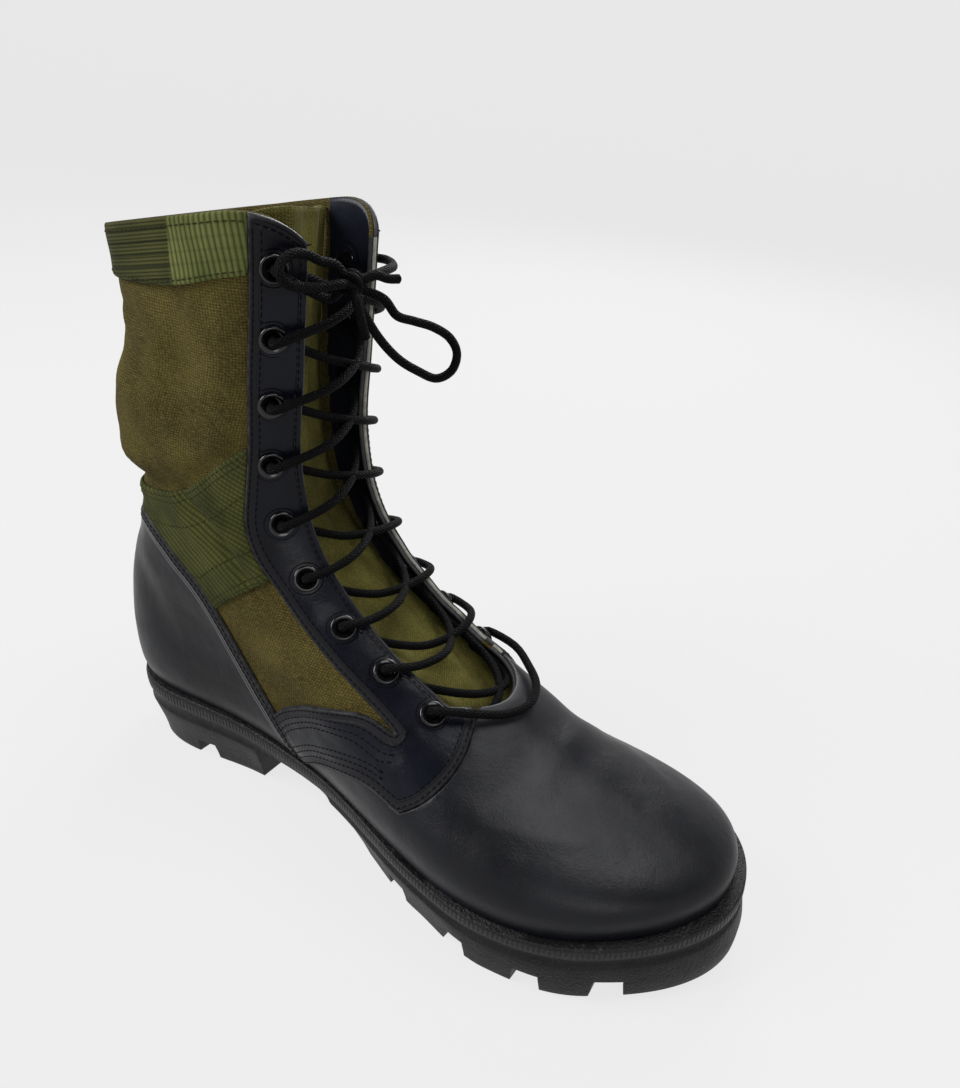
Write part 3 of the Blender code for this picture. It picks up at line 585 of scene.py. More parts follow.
def tubeMesh(name, path, radius, sides):
    path = np.array(path)
    ways = unit(np.gradient(path, axis=0))
    side = unit(np.cross(ways[0], (0.31, 0.22, 0.92)))
    walked = walk(path)
    angles = np.linspace(0, 2 * math.pi, sides, endpoint=False)
    rows, reach = [], []
    for i, (place, way) in enumerate(zip(path, ways)):
        side = unit(side - way * np.dot(side, way))
        other = np.cross(way, side)
        circle = np.cos(angles)[:, None] * side + np.sin(angles)[:, None] * other
        if i == 0:
            rows.append(place + circle * radius * cordEnd["ring"] - way * radius * cordEnd["back"])
            reach.append(walked[i])
        rows.append(place + circle * radius)
        reach.append(walked[i])
        if i == len(path) - 1:
            rows.append(place + circle * radius * cordEnd["ring"] + way * radius * cordEnd["back"])
            reach.append(walked[i])
    tips = [[path[0] - ways[0] * radius * cordEnd["tip"]], [path[-1] + ways[-1] * radius * cordEnd["tip"]]]
    points = np.concatenate(rows + tips)
    count = len(rows)
    faces = [
        (i * sides + j, i * sides + (j + 1) % sides, (i + 1) * sides + (j + 1) % sides, (i + 1) * sides + j)
        for i in range(count - 1) for j in range(sides)
    ]
    tail, tip = count * sides, count * sides + 1
    faces += [(tail, (j + 1) % sides, j) for j in range(sides)]
    faces += [((count - 1) * sides + j, (count - 1) * sides + (j + 1) % sides, tip) for j in range(sides)]
    mesh = bpy.data.meshes.new(name)
    mesh.from_pydata([tuple(p) for p in points], [], faces)
    layer = mesh.uv_layers.new(name="cord")
    maps = []
    for face in faces:
        for index in face:
            if index >= tail:
                maps += [reach[0] if index == tail else reach[-1], 0.5]
                continue
            i, j = divmod(index, sides)
            wraps = j == 0 and any(other < tail and other % sides == sides - 1 for other in face)
            maps += [reach[i], (j + (sides if wraps else 0)) / sides]
    layer.data.foreach_set("uv", maps)
    return mesh


# the lace: ties over the top eyelets, a knot, two loops and two ends, at the CAD model's places
laceSize = {
    "thick": 0.0036, "count": 9, "sides": 12, "rim": 0.0009, "seat": 0.0011, "facing": 0.0022, "wall": 0.0016,
    "clear": 0.0009,
}
eyeletRings = {-1: (4.86, 9.58), 1: (4.82, 9.50)}
eyeletInset = {-1: 0.0120, 1: 0.0155}
laceOver = last["gap"] + laceSize["facing"] + laceSize["thick"] / 2 + laceSize["clear"]
laceTop = laceOver + laceSize["seat"] + laceSize["rim"]
laceUnder = -(laceSize["wall"] + laceSize["thick"] / 2 + laceSize["clear"])


def eyeletSpots(side):
    low, high = eyeletRings[side]
    samples = np.linspace(low, high, 81)
    line = ringPoint(samples, fromEdge(samples, side, eyeletInset[side]))
    walked = walk(line)
    rings = np.interp(np.linspace(0, walked[-1], laceSize["count"]), walked, samples)
    return rings, fromEdge(rings, side, eyeletInset[side])


spots = {side: eyeletSpots(side) for side in (-1, 1)}
knot = np.array((0.0722, -0.0012, 0.2378))
knotRadii = np.array((0.0042, 0.0052, 0.0052))
# the knot's core in shares of its radii, then a turn's half width, its half height and its cord's radius
knotSize = {"core": 0.78, "wide": 0.0030, "high": 0.0036, "turn": 0.00155, "steps": 40, "sides": 10}
# each turn's tilt, lean and shift along the knot
knotTurns = ((0.25, 0.5, -0.0013), (0.25, 0.5, 0.0016), (1.35, -0.4, 0.0))


def atKnot(towards):
    way = unit(np.array(towards) - knot)
    return knot + way * (1 / math.sqrt(float(((way / knotRadii) ** 2).sum())) + last["gap"])


def eyeletPlace(side, k, height):
    rings, angles = spots[side]
    return lifted(rings[k], angles[k], height)


ties = {
    "tieOuter": (
        -1, ((0.0652, -0.0262, 0.2410), (0.0668, -0.0180, 0.2365), (0.0680, -0.0090, 0.2325)),
        "lace_tie_lateral",
    ),
    "tieInner": (
        1, ((0.0560, 0.0402, 0.2385), (0.0655, 0.0330, 0.2385), (0.0712, 0.0200, 0.2395)), "lace_tie_medial",
    ),
}
loops = {
    "loopOuter": (
        (
            (0.0702, -0.0085, 0.2453), (0.0692, -0.0150, 0.2472), (0.0676, -0.0210, 0.2500),
            (0.0668, -0.0270, 0.2506), (0.0668, -0.0320, 0.2488), (0.0680, -0.0346, 0.2452),
            (0.0698, -0.0322, 0.2416), (0.0712, -0.0260, 0.2398), (0.0726, -0.0180, 0.2392),
            (0.0738, -0.0105, 0.2392),
        ),
        ((0.0770, 0.0072, 0.2405), (0.0795, 0.0112, 0.2392), (0.0818, 0.0150, 0.2390)),
        ("lace_loop_lateral", "lace_end_medial"),
    ),
    "loopInner": (
        (
            (0.0762, 0.0002, 0.2285), (0.0790, 0.0070, 0.2175), (0.0830, 0.0145, 0.2085),
            (0.0880, 0.0215, 0.2030), (0.0925, 0.0282, 0.1995), (0.0962, 0.0335, 0.2025),
            (0.0972, 0.0350, 0.2095), (0.0950, 0.0322, 0.2160), (0.0910, 0.0262, 0.2205),
            (0.0865, 0.0198, 0.2230), (0.0825, 0.0135, 0.2255), (0.0800, 0.0085, 0.2320),
        ),
        ((0.0790, -0.0062, 0.2325), (0.0810, -0.0060, 0.2260), (0.0815, -0.0040, 0.2200)),
        ("lace_loop_medial", "lace_end_lateral"),
    ),
}


def lengthOf(path):
    return float(np.linalg.norm(np.diff(path, axis=0), axis=1).sum())


def makeKnot():
    # two turns of cord pulled tight round the crossing strands
    pieces = bmesh.new()
    core = Matrix.Translation(knot) @ Matrix.Diagonal((*(knotRadii * knotSize["core"]), 1.0))
    bmesh.ops.create_icosphere(pieces, subdivisions=4, radius=1.0, matrix=core)
    mesh = bpy.data.meshes.new("knotCore")
    pieces.to_mesh(mesh)
    pieces.free()
    mesh.uv_layers.new(name="cord")
    joined = bmesh.new()
    joined.from_mesh(mesh)
    for tilt, lean, shift in knotTurns:
        turn = Matrix.Rotation(tilt, 3, "X") @ Matrix.Rotation(lean, 3, "Z")
        ring = []
        for k in range(knotSize["steps"] + 1):
            a = 2 * math.pi * k / knotSize["steps"]
            flat = Vector((math.cos(a) * knotSize["wide"], shift, math.sin(a) * knotSize["high"]))
            ring.append(tuple(Vector(knot) + turn @ flat))
        joined.from_mesh(tubeMesh("knotTurn", ring, knotSize["turn"], knotSize["sides"]))
    mesh = bpy.data.meshes.new("knotCord")
    joined.to_mesh(mesh)
    joined.free()
    return keep("knotCord", mesh, [braidedCord], ("lace_knot",))


def layCord(name, path, nodes):
    mesh = tubeMesh(name, path, laceSize["thick"] / 2, laceSize["sides"])
    return keep(name, mesh, [braidedCord], nodes)


knotCord = makeKnot()
for name, (side, route, node) in ties.items():
    start = eyeletPlace(side, laceSize["count"] - 1, laceTop)
    path = smooth([start, *route, atKnot(route[-1])], 10)
    made = layCord(name, path, (node,))
    lengthOf(path)
for name, (route, end, nodes) in loops.items():
    start = atKnot(route[0])
    path = smooth([start, *route, atKnot(route[-1]), knot, atKnot(end[0]), *end], 8)
    made = layCord(name, path, nodes)
    lengthOf(path)
print("cords made")


def strand(low, high, heights):
    w = np.linspace(0, 1, len(heights))
    span = math.remainder(high[1] - low[1], 2 * math.pi)
    return list(lifted(low[0] + (high[0] - low[0]) * w, low[1] + span * w, np.array(heights)))


def makeLace():
    top, over, under = laceTop, laceOver, laceUnder
    usual = (top, over * 1.05, over, over * 0.7, 0.5 * (over + under), under * 0.7, under, under, under)
    lowest = (under, under, under, under * 0.9, under * 0.8, under * 0.9, under, under, under)
    bar = (top, top, over, over, over, over, over, top, top)

    def spot(side, k):
        return spots[side][0][k], spots[side][1][k]

    def climb(side):  # from under the lowest eyelet of a side up to the top one
        route = []
        for k in range(laceSize["count"] - 1):
            heights = usual if k else lowest
            route += strand(spot(side, k), spot(-side, k + 1), heights)
            side = -side
            route += [eyeletPlace(side, k + 1, under * 0.3), eyeletPlace(side, k + 1, over * 0.55)]
        return route + [eyeletPlace(side, laceSize["count"] - 1, top)]

    rungs = strand(spot(-1, 0), spot(1, 0), bar)
    low = [eyeletPlace(-1, 0, over * 0.5), eyeletPlace(-1, 0, under * 0.2)]
    high = [eyeletPlace(1, 0, over * 0.5), eyeletPlace(1, 0, under * 0.2)]
    route = climb(-1)[::-1] + low[::-1] + rungs + high + climb(1)
    path = smooth(route, 4)
    nodes = ["lace_bar"] + [f"lace_crossing_{k}" for k in range(1, laceSize["count"])]
    layCord("laceCrossed", path, nodes)


makeLace()
print("lace made")


# the net: a fine grid over the last that every piece of the upper is cut from
netSize = {"sides": 130, "front": 44, "low": 60, "high": 70}
fieldNames = ("x", "y", "z", "nx", "ny", "nz", "u", "v", "throat", "top", "foot", "hole", "border", "edge")
field = {name: i for i, name in enumerate(fieldNames)}


def nearestTo(points, line):
    best = np.full(len(points), 1e9)
    for place in line:
        best = np.minimum(best, np.linalg.norm(points - place, axis=1))
    return best


def makeNet(size):
    throat, top = last["throatRing"], last["topRing"]
    rows = np.concatenate(
        [np.linspace(0, throat, size["low"], endpoint=False), np.linspace(throat, top, size["high"] + 1)]
    )
    outs, ins = fromEdge(rows, -1, 0.0), fromEdge(rows, 1, 0.0)
    width = 2 * size["sides"] + size["front"]
    angles = np.zeros((len(rows), width))
    for i, (t, out, into) in enumerate(zip(rows, outs, ins)):
        dense = np.concatenate([np.linspace(out, 0, 300), np.linspace(0, into, 300)[1:]])
        places = ringPoint(t, dense)
        walked = walk(places)
        middle = walked[299]
        wanted = np.concatenate([
            np.linspace(0, middle, size["sides"], endpoint=False),
            np.linspace(middle, walked[-1], size["sides"] + 1),
        ])
        angles[i, :2 * size["sides"] + 1] = np.interp(wanted, walked, dense)
        angles[i, 2 * size["sides"] + 1:] = (
            into + (2 * math.pi + out - into) * np.arange(1, size["front"]) / size["front"]
        )
    sided = np.where(angles < 0, 1 - angles / outs[:, None], 1 - angles / ins[:, None])
    sided[:, 2 * size["sides"] + 1:] = 1
    near = np.clip(1 - sided / last["cornerShare"], 0, 1)
    rings = rows[:, None] - last["cornerDrop"] * near**2 * np.maximum(0, rows[:, None] - top + 1)
    places, normals = ringPoint(rings, angles), outward(rings, angles)
    arcs = np.concatenate(
        [np.zeros((len(rows), 1)), np.cumsum(np.linalg.norm(np.diff(places, axis=1), axis=-1), axis=1)],
        axis=1,
    )
    arcs = arcs - arcs[:, size["sides"]][:, None]
    values = np.zeros((len(rows) * width, len(fieldNames)))
    values[:, 0:3] = places.reshape(-1, 3)
    values[:, 3:6] = normals.reshape(-1, 3)
    values[:, 6] = arcs.reshape(-1)
    values[:, 7] = places[..., 2].reshape(-1)
    low, back = size["low"], 2 * size["sides"]
    rim = np.concatenate([places[low:, 0], places[low:, back], places[low, back:], places[low, :1]])
    finer = np.concatenate([rim[:-1] + (rim[1:] - rim[:-1]) * f for f in (0.0, 0.5)])
    finer = finer[np.linalg.norm(np.gradient(finer, axis=0), axis=1) < 0.02]
    values[:, field["throat"]] = nearestTo(values[:, :3], finer)
    values[:, field["top"]] = nearestTo(values[:, :3], places[-1, :back + 1])
    values[:, field["foot"]] = np.repeat(np.arange(len(rows)), width) * 0.002
    holes = np.concatenate([ringPoint(*spots[side]) for side in (-1, 1)])
    values[:, field["hole"]] = nearestTo(values[:, :3], holes)
    faces = []
    for i in range(len(rows) - 1):
        for j in range(width):
            if i < low or j < back:
                k = (j + 1) % width
                faces.append([i * width + j, i * width + k, (i + 1) * width + k, (i + 1) * width + j])
    return values, faces


netValues, netFaces = makeNet(netSize)
print("net made", len(netFaces), "faces")


# overlay outlines in shares of the sole's length and the collar's height; a 1 marks a sharp corner
outlines = {
    "counter": (
        (-0.100, 0.050, 1), (0.405, 0.050, 1), (0.405, 0.110), (0.364, 0.176), (0.292, 0.269),
        (0.230, 0.378), (0.171, 0.435), (0.106, 0.479), (0.050, 0.478), (-0.100, 0.468, 1),
    ),
    "strap": (
        (0.350, 0.720, 1), (0.265, 0.637), (0.193, 0.566), (0.100, 0.535), (-0.100, 0.522, 1),
        (-0.100, 0.400, 1), (0.230, 0.355, 1), (0.277, 0.407), (0.345, 0.467), (0.420, 0.520, 1),
    ),
    "band": (
        (-0.100, 0.868, 1), (0.178, 0.885), (0.305, 0.921), (0.450, 0.950, 1), (0.450, 1.200, 1),
        (-0.100, 1.200, 1),
    ),
    "vamp": (
        (0.340, 0.050, 1), (1.100, 0.050, 1), (1.100, 0.500, 1), (0.575, 0.500, 1), (0.575, 0.290, 1),
        (0.470, 0.250), (0.395, 0.185),
    ),
}
facingBack = (
    (0.316, 1.100, -0.065, 1), (0.309, 0.890, -0.063), (0.294, 0.620, -0.046), (0.300, 0.515, -0.030),
    (0.355, 0.431, -0.030), (0.433, 0.359, -0.030), (0.550, 0.289, -0.030, 1),
)
facingFoot = (
    (0.500, 0.303), (0.444, 0.289), (0.393, 0.258), (0.339, 0.199), (0.320, 0.100, 1), (0.385, 0.122),
    (0.443, 0.171), (0.527, 0.209), (0.594, 0.203, 1), (0.618, 0.226), (0.633, 0.250), (0.635, 0.272),
    (0.626, 0.295), (0.612, 0.320), (0.606, 0.350), (0.630, 0.400, 1), (0.720, 0.500), (0.720, 1.100, 1),
)


def facingOutline(side):
    corner = [
        ringPoint(last["throatRing"], fromEdge(last["throatRing"], flank, 0.0)[0])[0] for flank in (-1, side)
    ]
    shift = (corner[1] - corner[0]) / last["soleLength"]
    back = [(row[0] + row[2] * (side > 0), row[1], *row[3:]) for row in facingBack]
    return back + [(row[0] + shift, *row[1:]) for row in facingFoot]


def rounded(rows):
    corners = [i for i, row in enumerate(rows) if len(row) > 2]
    turned = list(rows[corners[0]:]) + list(rows[:corners[0] + 1])
    pieces, run = [], []
    for row in turned:
        run.append((along(row[0]), row[1] * last["collarHeight"]))
        if len(row) > 2 and len(run) > 1:
            pieces += [tuple(p) for p in smooth(run, 6)[:-1]]
            run = run[-1:]
    return np.array(pieces)


def insideBy(outline, normals, flat):
    # signed distance to a side outline, set right for how steeply the surface turns away
    best, way = np.full(len(flat), 1e9), np.zeros((len(flat), 2))
    crossings = np.zeros(len(flat), int)
    for a, b in zip(outline, np.roll(outline, -1, axis=0)):
        side = b - a
        f = np.clip(((flat - a) @ side) / max(side @ side, 1e-15), 0, 1)
        apart = flat - (a + f[:, None] * side)
        distance = np.linalg.norm(apart, axis=1)
        closer = distance < best
        best = np.where(closer, distance, best)
        way[closer] = apart[closer]
        spans = (a[1] > flat[:, 1]) != (b[1] > flat[:, 1])
        if spans.any():
            reach = a[0] + (flat[:, 1] - a[1]) * side[0] / (side[1] if side[1] else 1e-12)
            crossings += spans & (flat[:, 0] < reach)
    way = unit(way)
    steep = way[:, 0] * normals[:, 0] + way[:, 1] * normals[:, 2]
    best = best / np.maximum(np.sqrt(np.maximum(0, 1 - steep**2)), 0.35)
    return np.where(crossings % 2 == 1, best, -best)


def outlineField(rows):
    return insideBy(rounded(rows), netValues[:, 3:6], netValues[:, [0, 2]])


inner = netValues[:, 1] > spine(netValues[:, 0])
regions = {name: outlineField(rows) for name, rows in outlines.items()}
facings = {side: outlineField(facingOutline(side)) for side in (-1, 1)}
regions["facing"] = np.where(inner, facings[1], facings[-1])
print("outlines laid on the net")


# folds, troughs and ridges placed one by one: flank (-1 outer, 1 inner, 0 both), height in shares of the
# cloth's fold size, width in mm, then the route
folds = (
    (
        -1, -2.4, 3.2,
        ((0.150, 0.590), (0.182, 0.562), (0.228, 0.527), (0.256, 0.502), (0.290, 0.456), (0.330, 0.415)),
    ),
    (-1, 1.6, 4.5, ((0.215, 0.590), (0.248, 0.552), (0.277, 0.515), (0.315, 0.470))),
    (-1, 1.2, 4.0, ((0.175, 0.525), (0.215, 0.490), (0.250, 0.440))),
    (0, 2.2, 6.0, ((0.020, 0.610), (0.080, 0.600), (0.155, 0.600), (0.210, 0.630))),
    (0, -2.0, 3.0, ((0.010, 0.560), (0.080, 0.550), (0.129, 0.552), (0.182, 0.562))),
    (-1, -1.4, 3.5, ((0.182, 0.562), (0.219, 0.594), (0.263, 0.642), (0.300, 0.680))),
    (-1, 1.3, 9.0, ((0.174, 0.862), (0.171, 0.773), (0.168, 0.678), (0.168, 0.600))),
    (-1, -1.6, 10.0, ((0.233, 0.862), (0.217, 0.786), (0.200, 0.680))),
    (0, 1.6, 15.0, ((0.050, 0.720), (0.107, 0.700), (0.134, 0.650))),
    (-1, -0.9, 3.0, ((0.080, 0.850), (0.120, 0.835), (0.149, 0.819), (0.165, 0.790))),
    (-1, -0.7, 3.0, ((0.090, 0.800), (0.125, 0.775), (0.150, 0.740))),
    (1, -1.6, 5.0, ((0.120, 0.570), (0.180, 0.540), (0.235, 0.480))),
    (1, -1.2, 8.0, ((0.180, 0.850), (0.170, 0.760), (0.150, 0.670))),
    (1, 1.2, 9.0, ((0.110, 0.850), (0.110, 0.740), (0.100, 0.640))),
    (-1, 0.7, 5.0, ((0.330, 0.330), (0.380, 0.310), (0.430, 0.300))),
    (-1, -0.8, 6.0, ((0.300, 0.360), (0.350, 0.350), (0.400, 0.320))),
    (0, -0.8, 9.0, ((0.690, 0.330), (0.705, 0.270), (0.700, 0.200))),
    (0, -0.6, 7.0, ((0.740, 0.320), (0.750, 0.260), (0.745, 0.200))),
    (0, 0.5, 7.0, ((0.722, 0.320), (0.728, 0.260), (0.722, 0.200))),
    (-1, -0.6, 7.0, ((0.060, 0.400), (0.110, 0.330), (0.150, 0.260))),
    (-1, 0.55, 1.3, ((0.542, 0.262), (0.552, 0.245), (0.561, 0.232))),
    (-1, 0.60, 1.3, ((0.556, 0.268), (0.566, 0.250), (0.577, 0.234))),
    (-1, 0.55, 1.3, ((0.571, 0.270), (0.581, 0.252), (0.592, 0.238))),
    (-1, 0.45, 1.3, ((0.586, 0.268), (0.595, 0.252), (0.604, 0.242))),
)


# how the cloth lies between the folds: calm near its edges, waved elsewhere, drawn in round each hole
clothSize = {
    "flank": 0.008, "fold": 0.0013, "throatFrom": 0.012, "throatOver": 0.02, "topOver": 0.01,
    "edgeOver": 0.006, "coarse": 52.0, "fine": 120.0, "canvasFrom": 0.10, "canvasOver": 0.03,
    "canvasWave": 0.0009, "hideWave": 0.00012, "dimpleFrom": 0.006, "dimpleWide": 0.0035, "dimple": 0.00035,
    "collarOver": 0.02, "collarWave": 0.0006, "collarTurns": 110.0,
}


def relief(values):
    size = clothSize
    throat, top = values[:, field["throat"]], values[:, field["top"]]
    flat = values[:, [0, 2]]
    offset = values[:, 1] - spine(values[:, 0])
    total = np.zeros(len(values))
    for flank, height, width, route in folds:
        line = smooth([(along(a), r * last["collarHeight"]) for a, r in route], 3)
        lengths = np.linalg.norm(np.diff(line, axis=0), axis=1)
        walked = np.concatenate([[0], np.cumsum(lengths)]) / lengths.sum()
        best, where = np.full(len(flat), 1e9), np.zeros(len(flat))
        for i, (a, b) in enumerate(zip(line, line[1:])):
            side = b - a
            f = np.clip(((flat - a) @ side) / (side @ side), 0, 1)
            distance = np.linalg.norm(flat - (a + f[:, None] * side), axis=1)
            closer = distance < best
            best = np.where(closer, distance, best)
            where = np.where(closer, walked[i] + f * (walked[i + 1] - walked[i]), where)
        taper = np.sqrt(np.sin(np.pi * np.clip(where * 0.94 + 0.03, 0, 1)))
        shown = np.clip(offset * flank / size["flank"], 0, 1) if flank else 1.0
        total += height * size["fold"] * np.exp(-(best / (width * 0.001)) ** 2) * taper * shown
    offThroat = np.clip((throat - size["throatFrom"]) / size["throatOver"], 0, 1)
    calm = offThroat * np.clip(top / size["topOver"], 0, 1)
    places = [Vector(p) for p in values[:, :3]]
    soft = np.array([noise.noise(p * size["coarse"]) + 0.5 * noise.noise(p * size["fine"]) for p in places])
    canvasShare = np.clip((values[:, 2] - size["canvasFrom"]) / size["canvasOver"], 0, 1)
    cloth = canvasShare * size["canvasWave"] + size["hideWave"]
    total = total * np.clip(throat / size["edgeOver"], 0, 1) + soft * cloth * calm
    offHole = (values[:, field["hole"]] - size["dimpleFrom"]) / size["dimpleWide"]
    dimple = np.exp(-offHole ** 2) * size["dimple"]
    nearTop = np.clip(1 - top / size["collarOver"], 0, 1)
    waves = nearTop * size["collarWave"] * np.sin(values[:, 6] * size["collarTurns"])
    return total - dimple + waves * calm


def splitNet(values, faces, name, level, drop):
    # cuts faces along a level of a field, and leaves out what lies below it where drop is set
    depth = values[:, field[name]] - level
    depth[np.abs(depth) < 0.00002] = 0.0
    depth = depth.tolist()
    kept, added, fresh = [], {}, []
    for face in faces:
        signs = [depth[i] for i in face]
        if min(signs) >= 0:
            if not drop or max(signs) > 0:
                kept.append(face)
            continue
        if max(signs) <= 0:
            if not drop:
                kept.append(face)
            continue
        above, below = [], []
        for a, b in zip(face, face[1:] + face[:1]):
            if depth[a] >= 0:
                above.append(a)
            if depth[a] <= 0:
                below.append(a)
            if depth[a] * depth[b] < 0:
                key = (min(a, b), max(a, b))
                if key not in added:
                    w = depth[key[0]] / (depth[key[0]] - depth[key[1]])
                    added[key] = len(values) + len(fresh)
                    fresh.append(values[key[0]] * (1 - w) + values[key[1]] * w)
                above.append(added[key])
                below.append(added[key])
        if len(above) > 2:
            kept.append(above)
        if not drop and len(below) > 2:
            kept.append(below)
    return (np.vstack([values, fresh]) if fresh else values), kept


def tidyNet(values, faces):
    used = sorted({i for face in faces for i in face})
    renamed = {old: new for new, old in enumerate(used)}
    return values[used], [[renamed[i] for i in face] for face in faces]


def region(border, edge):
    # the part of the net inside a border, with its own distance from the edge
    values = netValues.copy()
    values[:, field["border"]] = border
    values[:, field["edge"]] = edge
    wanted = edge > 0
    faces = [face for face in netFaces if any(wanted[i] for i in face)]
    values, faces = tidyNet(values, faces)
    values, faces = splitNet(values, faces, "edge", 0.0, True)
    return tidyNet(values, faces)


def wall(name, values, faces, low, high, rim, materials, nodes, raw=None, down=None, faced=False):
    # a closed piece between two heights over the last, its outer edges rounded
    if rim:
        for level in (rim * 0.3, rim):
            values, faces = splitNet(values, faces, "edge", level, False)
        values, faces = tidyNet(values, faces)
    places, normals = values[:, :3], unit(values[:, 3:6])
    lift = relief(values)
    share = np.clip(values[:, field["edge"]] / rim, 0, 1) if rim else np.ones(len(values))
    crown = 0.45 + 0.55 * np.sqrt(np.maximum(0, 1 - (1 - share) ** 2))
    outer = places + normals * (lift + low + (high - low) * crown)[:, None]
    innerLayer = places + normals * (lift + low)[:, None]
    count = len(values)
    edges = {}
    for face in faces:
        for a, b in zip(face, face[1:] + face[:1]):
            edges[(a, b)] = True
    rims = [(a, b) for a, b in edges if (b, a) not in edges]
    quads = [list(face) for face in faces] + [[i + count for i in face[::-1]] for face in faces]
    kinds = (
        [0] * len(faces)
        + [4 if faced and min(values[i, field["border"]] for i in face) > 0 else 2 for face in faces]
    )
    for a, b in rims:
        quads.append([b, a, a + count, b + count])
        light = raw is not None and values[a, field[raw]] < 0.0008 and values[b, field[raw]] < 0.0008
        kinds.append(1 if light else 3)
    mesh = bpy.data.meshes.new(name)
    mesh.from_pydata(np.vstack([outer, innerLayer]).tolist(), [], quads)
    mesh.polygons.foreach_set("material_index", kinds)
    layer = mesh.uv_layers.new(name="cloth")
    index = np.array([i for quad in quads for i in quad]) % count
    maps = values[index, 6:8]
    if down:
        maps[:, 1] = -values[index, field[down]]
    layer.data.foreach_set("uv", maps.reshape(-1))
    for title in ("edge", "border"):
        data = mesh.attributes.new(title, "FLOAT", "POINT")
        data.data.foreach_set("value", np.tile(values[:, field[title]], 2))
    keep(name, mesh, materials, nodes)
    faceOut(mesh)
    return values, faces


wallSize = {
    "wall": 0.0016, "vamp": 0.0012, "counter": 0.0016, "facing": 0.0022, "strap": 0.0013, "band": 0.0015,
    "gap": 0.0003, "hole": 0.0032,
}
holeEdge = netValues[:, field["hole"]] - wallSize["hole"]
throatEdge = netValues[:, field["throat"]]
topEdge = netValues[:, field["top"]]


def overlay(name, key, thickness, covers, materials, node, rim, side=0, raw=None, down=None):
    border = regions[key]
    edge = np.minimum(border, np.minimum(throatEdge, topEdge) + 0.00005)
    for other in covers:
        edge = np.minimum(edge, -regions[other] - 0.00002)
    edge = np.minimum(edge, holeEdge)
    if side:
        edge = np.where(inner == (side > 0), edge, -1.0)
    values, faces = region(border, edge)
    low = wallSize["gap"]
    return wall(name, values, faces, low, low + thickness, rim, materials, (node,), raw=raw, down=down)


upperValues, upperFaces = region(regions["facing"], holeEdge)
wall(
    "upperCloth", upperValues, upperFaces, -wallSize["wall"], 0.0, 0.0,
    [canvasCloth, darkEdge, liningCloth, canvasCloth, flapHide], ("upper",),
    raw="throat", faced=True,
)
print("upper made")
laid = {
    "vampLeather": overlay(
        "vampLeather", "vamp", wallSize["vamp"], ("facing", "counter"),
        [vampHide, darkEdge, fleshHide, darkEdge],
        "vamp", 0.0008,
    ),
    "counterLeather": overlay(
        "counterLeather", "counter", wallSize["counter"], (), [counterHide, darkEdge, fleshHide, darkEdge],
        "counter", 0.0009,
    ),
    "ankleTape": overlay(
        "ankleTape", "strap", wallSize["strap"], ("counter", "facing"), [ankleCloth] * 4,
        "ankle_strap", 0.0007,
    ),
    "collarTape": overlay(
        "collarTape", "band", wallSize["band"], ("facing",), [collarCloth] * 4, "collar_band",
        0.0008,
        down="top",
    ),
}
for name, side, node in (("facingOuter", -1, "facing_lateral"), ("facingInner", 1, "facing_medial")):
    laid[name] = overlay(
        name, "facing", wallSize["facing"], ("counter",), [facingHide, rawEdge, fleshHide, darkEdge],
        node, 0.0009, side=side, raw="throat",
    )
print("overlays made")


# stitches: Geometry Nodes lay one mesh stitch after another along each seam
def newTree(name, inputs):
    tree = bpy.data.node_groups.new(name, "GeometryNodeTree")
    tree.interface.new_socket("Geometry", in_out="INPUT", socket_type="NodeSocketGeometry")
    tree.interface.new_socket("Geometry", in_out="OUTPUT", socket_type="NodeSocketGeometry")
    for title, kind in inputs:
        tree.interface.new_socket(title, in_out="INPUT", socket_type=kind)
    entry = tree.nodes.new("NodeGroupInput")
    names = {socket.name: Wire(tree, socket) for socket in entry.outputs if socket.name}
    return tree, names


def closeTree(tree, geometry, material):
    real = makeNode(tree, "GeometryNodeRealizeInstances", None, {"Geometry": geometry})
    dressed = makeNode(tree, "GeometryNodeSetMaterial", None, {"Geometry": real, "Material": material})
    makeNode(tree, "NodeGroupOutput", None, {"Geometry": dressed})


def stitchTree():
    tree, given = newTree("stitches", (
        ("Pitch", "NodeSocketFloat"), ("Length", "NodeSocketFloat"), ("Thickness", "NodeSocketFloat"),
        ("Material", "NodeSocketMaterial"),
    ))
    curve = makeNode(tree, "GeometryNodeMeshToCurve", None, {"Mesh": given["Geometry"]})
    points = makeNode(
        tree, "GeometryNodeCurveToPoints", {"mode": "LENGTH"}, {"Curve": curve, "Length": given["Pitch"]},
    )
    tangent = Wire(tree, points.socket.node.outputs["Tangent"])
    turn = makeNode(tree, "FunctionNodeAlignRotationToVector", {"axis": "Z"}, {"Vector": tangent})
    bead = makeNode(tree, "GeometryNodeMeshUVSphere", None, {"Segments": 6, "Rings": 5, "Radius": 0.5})
    scale = makeNode(
        tree, "ShaderNodeCombineXYZ", None, (given["Thickness"], given["Thickness"], given["Length"]),
    )
    stitch = makeNode(tree, "GeometryNodeTransform", None, {"Geometry": bead, "Scale": scale})
    laidOut = makeNode(
        tree, "GeometryNodeInstanceOnPoints", None, {"Points": points, "Instance": stitch, "Rotation": turn},
    )
    closeTree(tree, laidOut, given["Material"])
    return tree


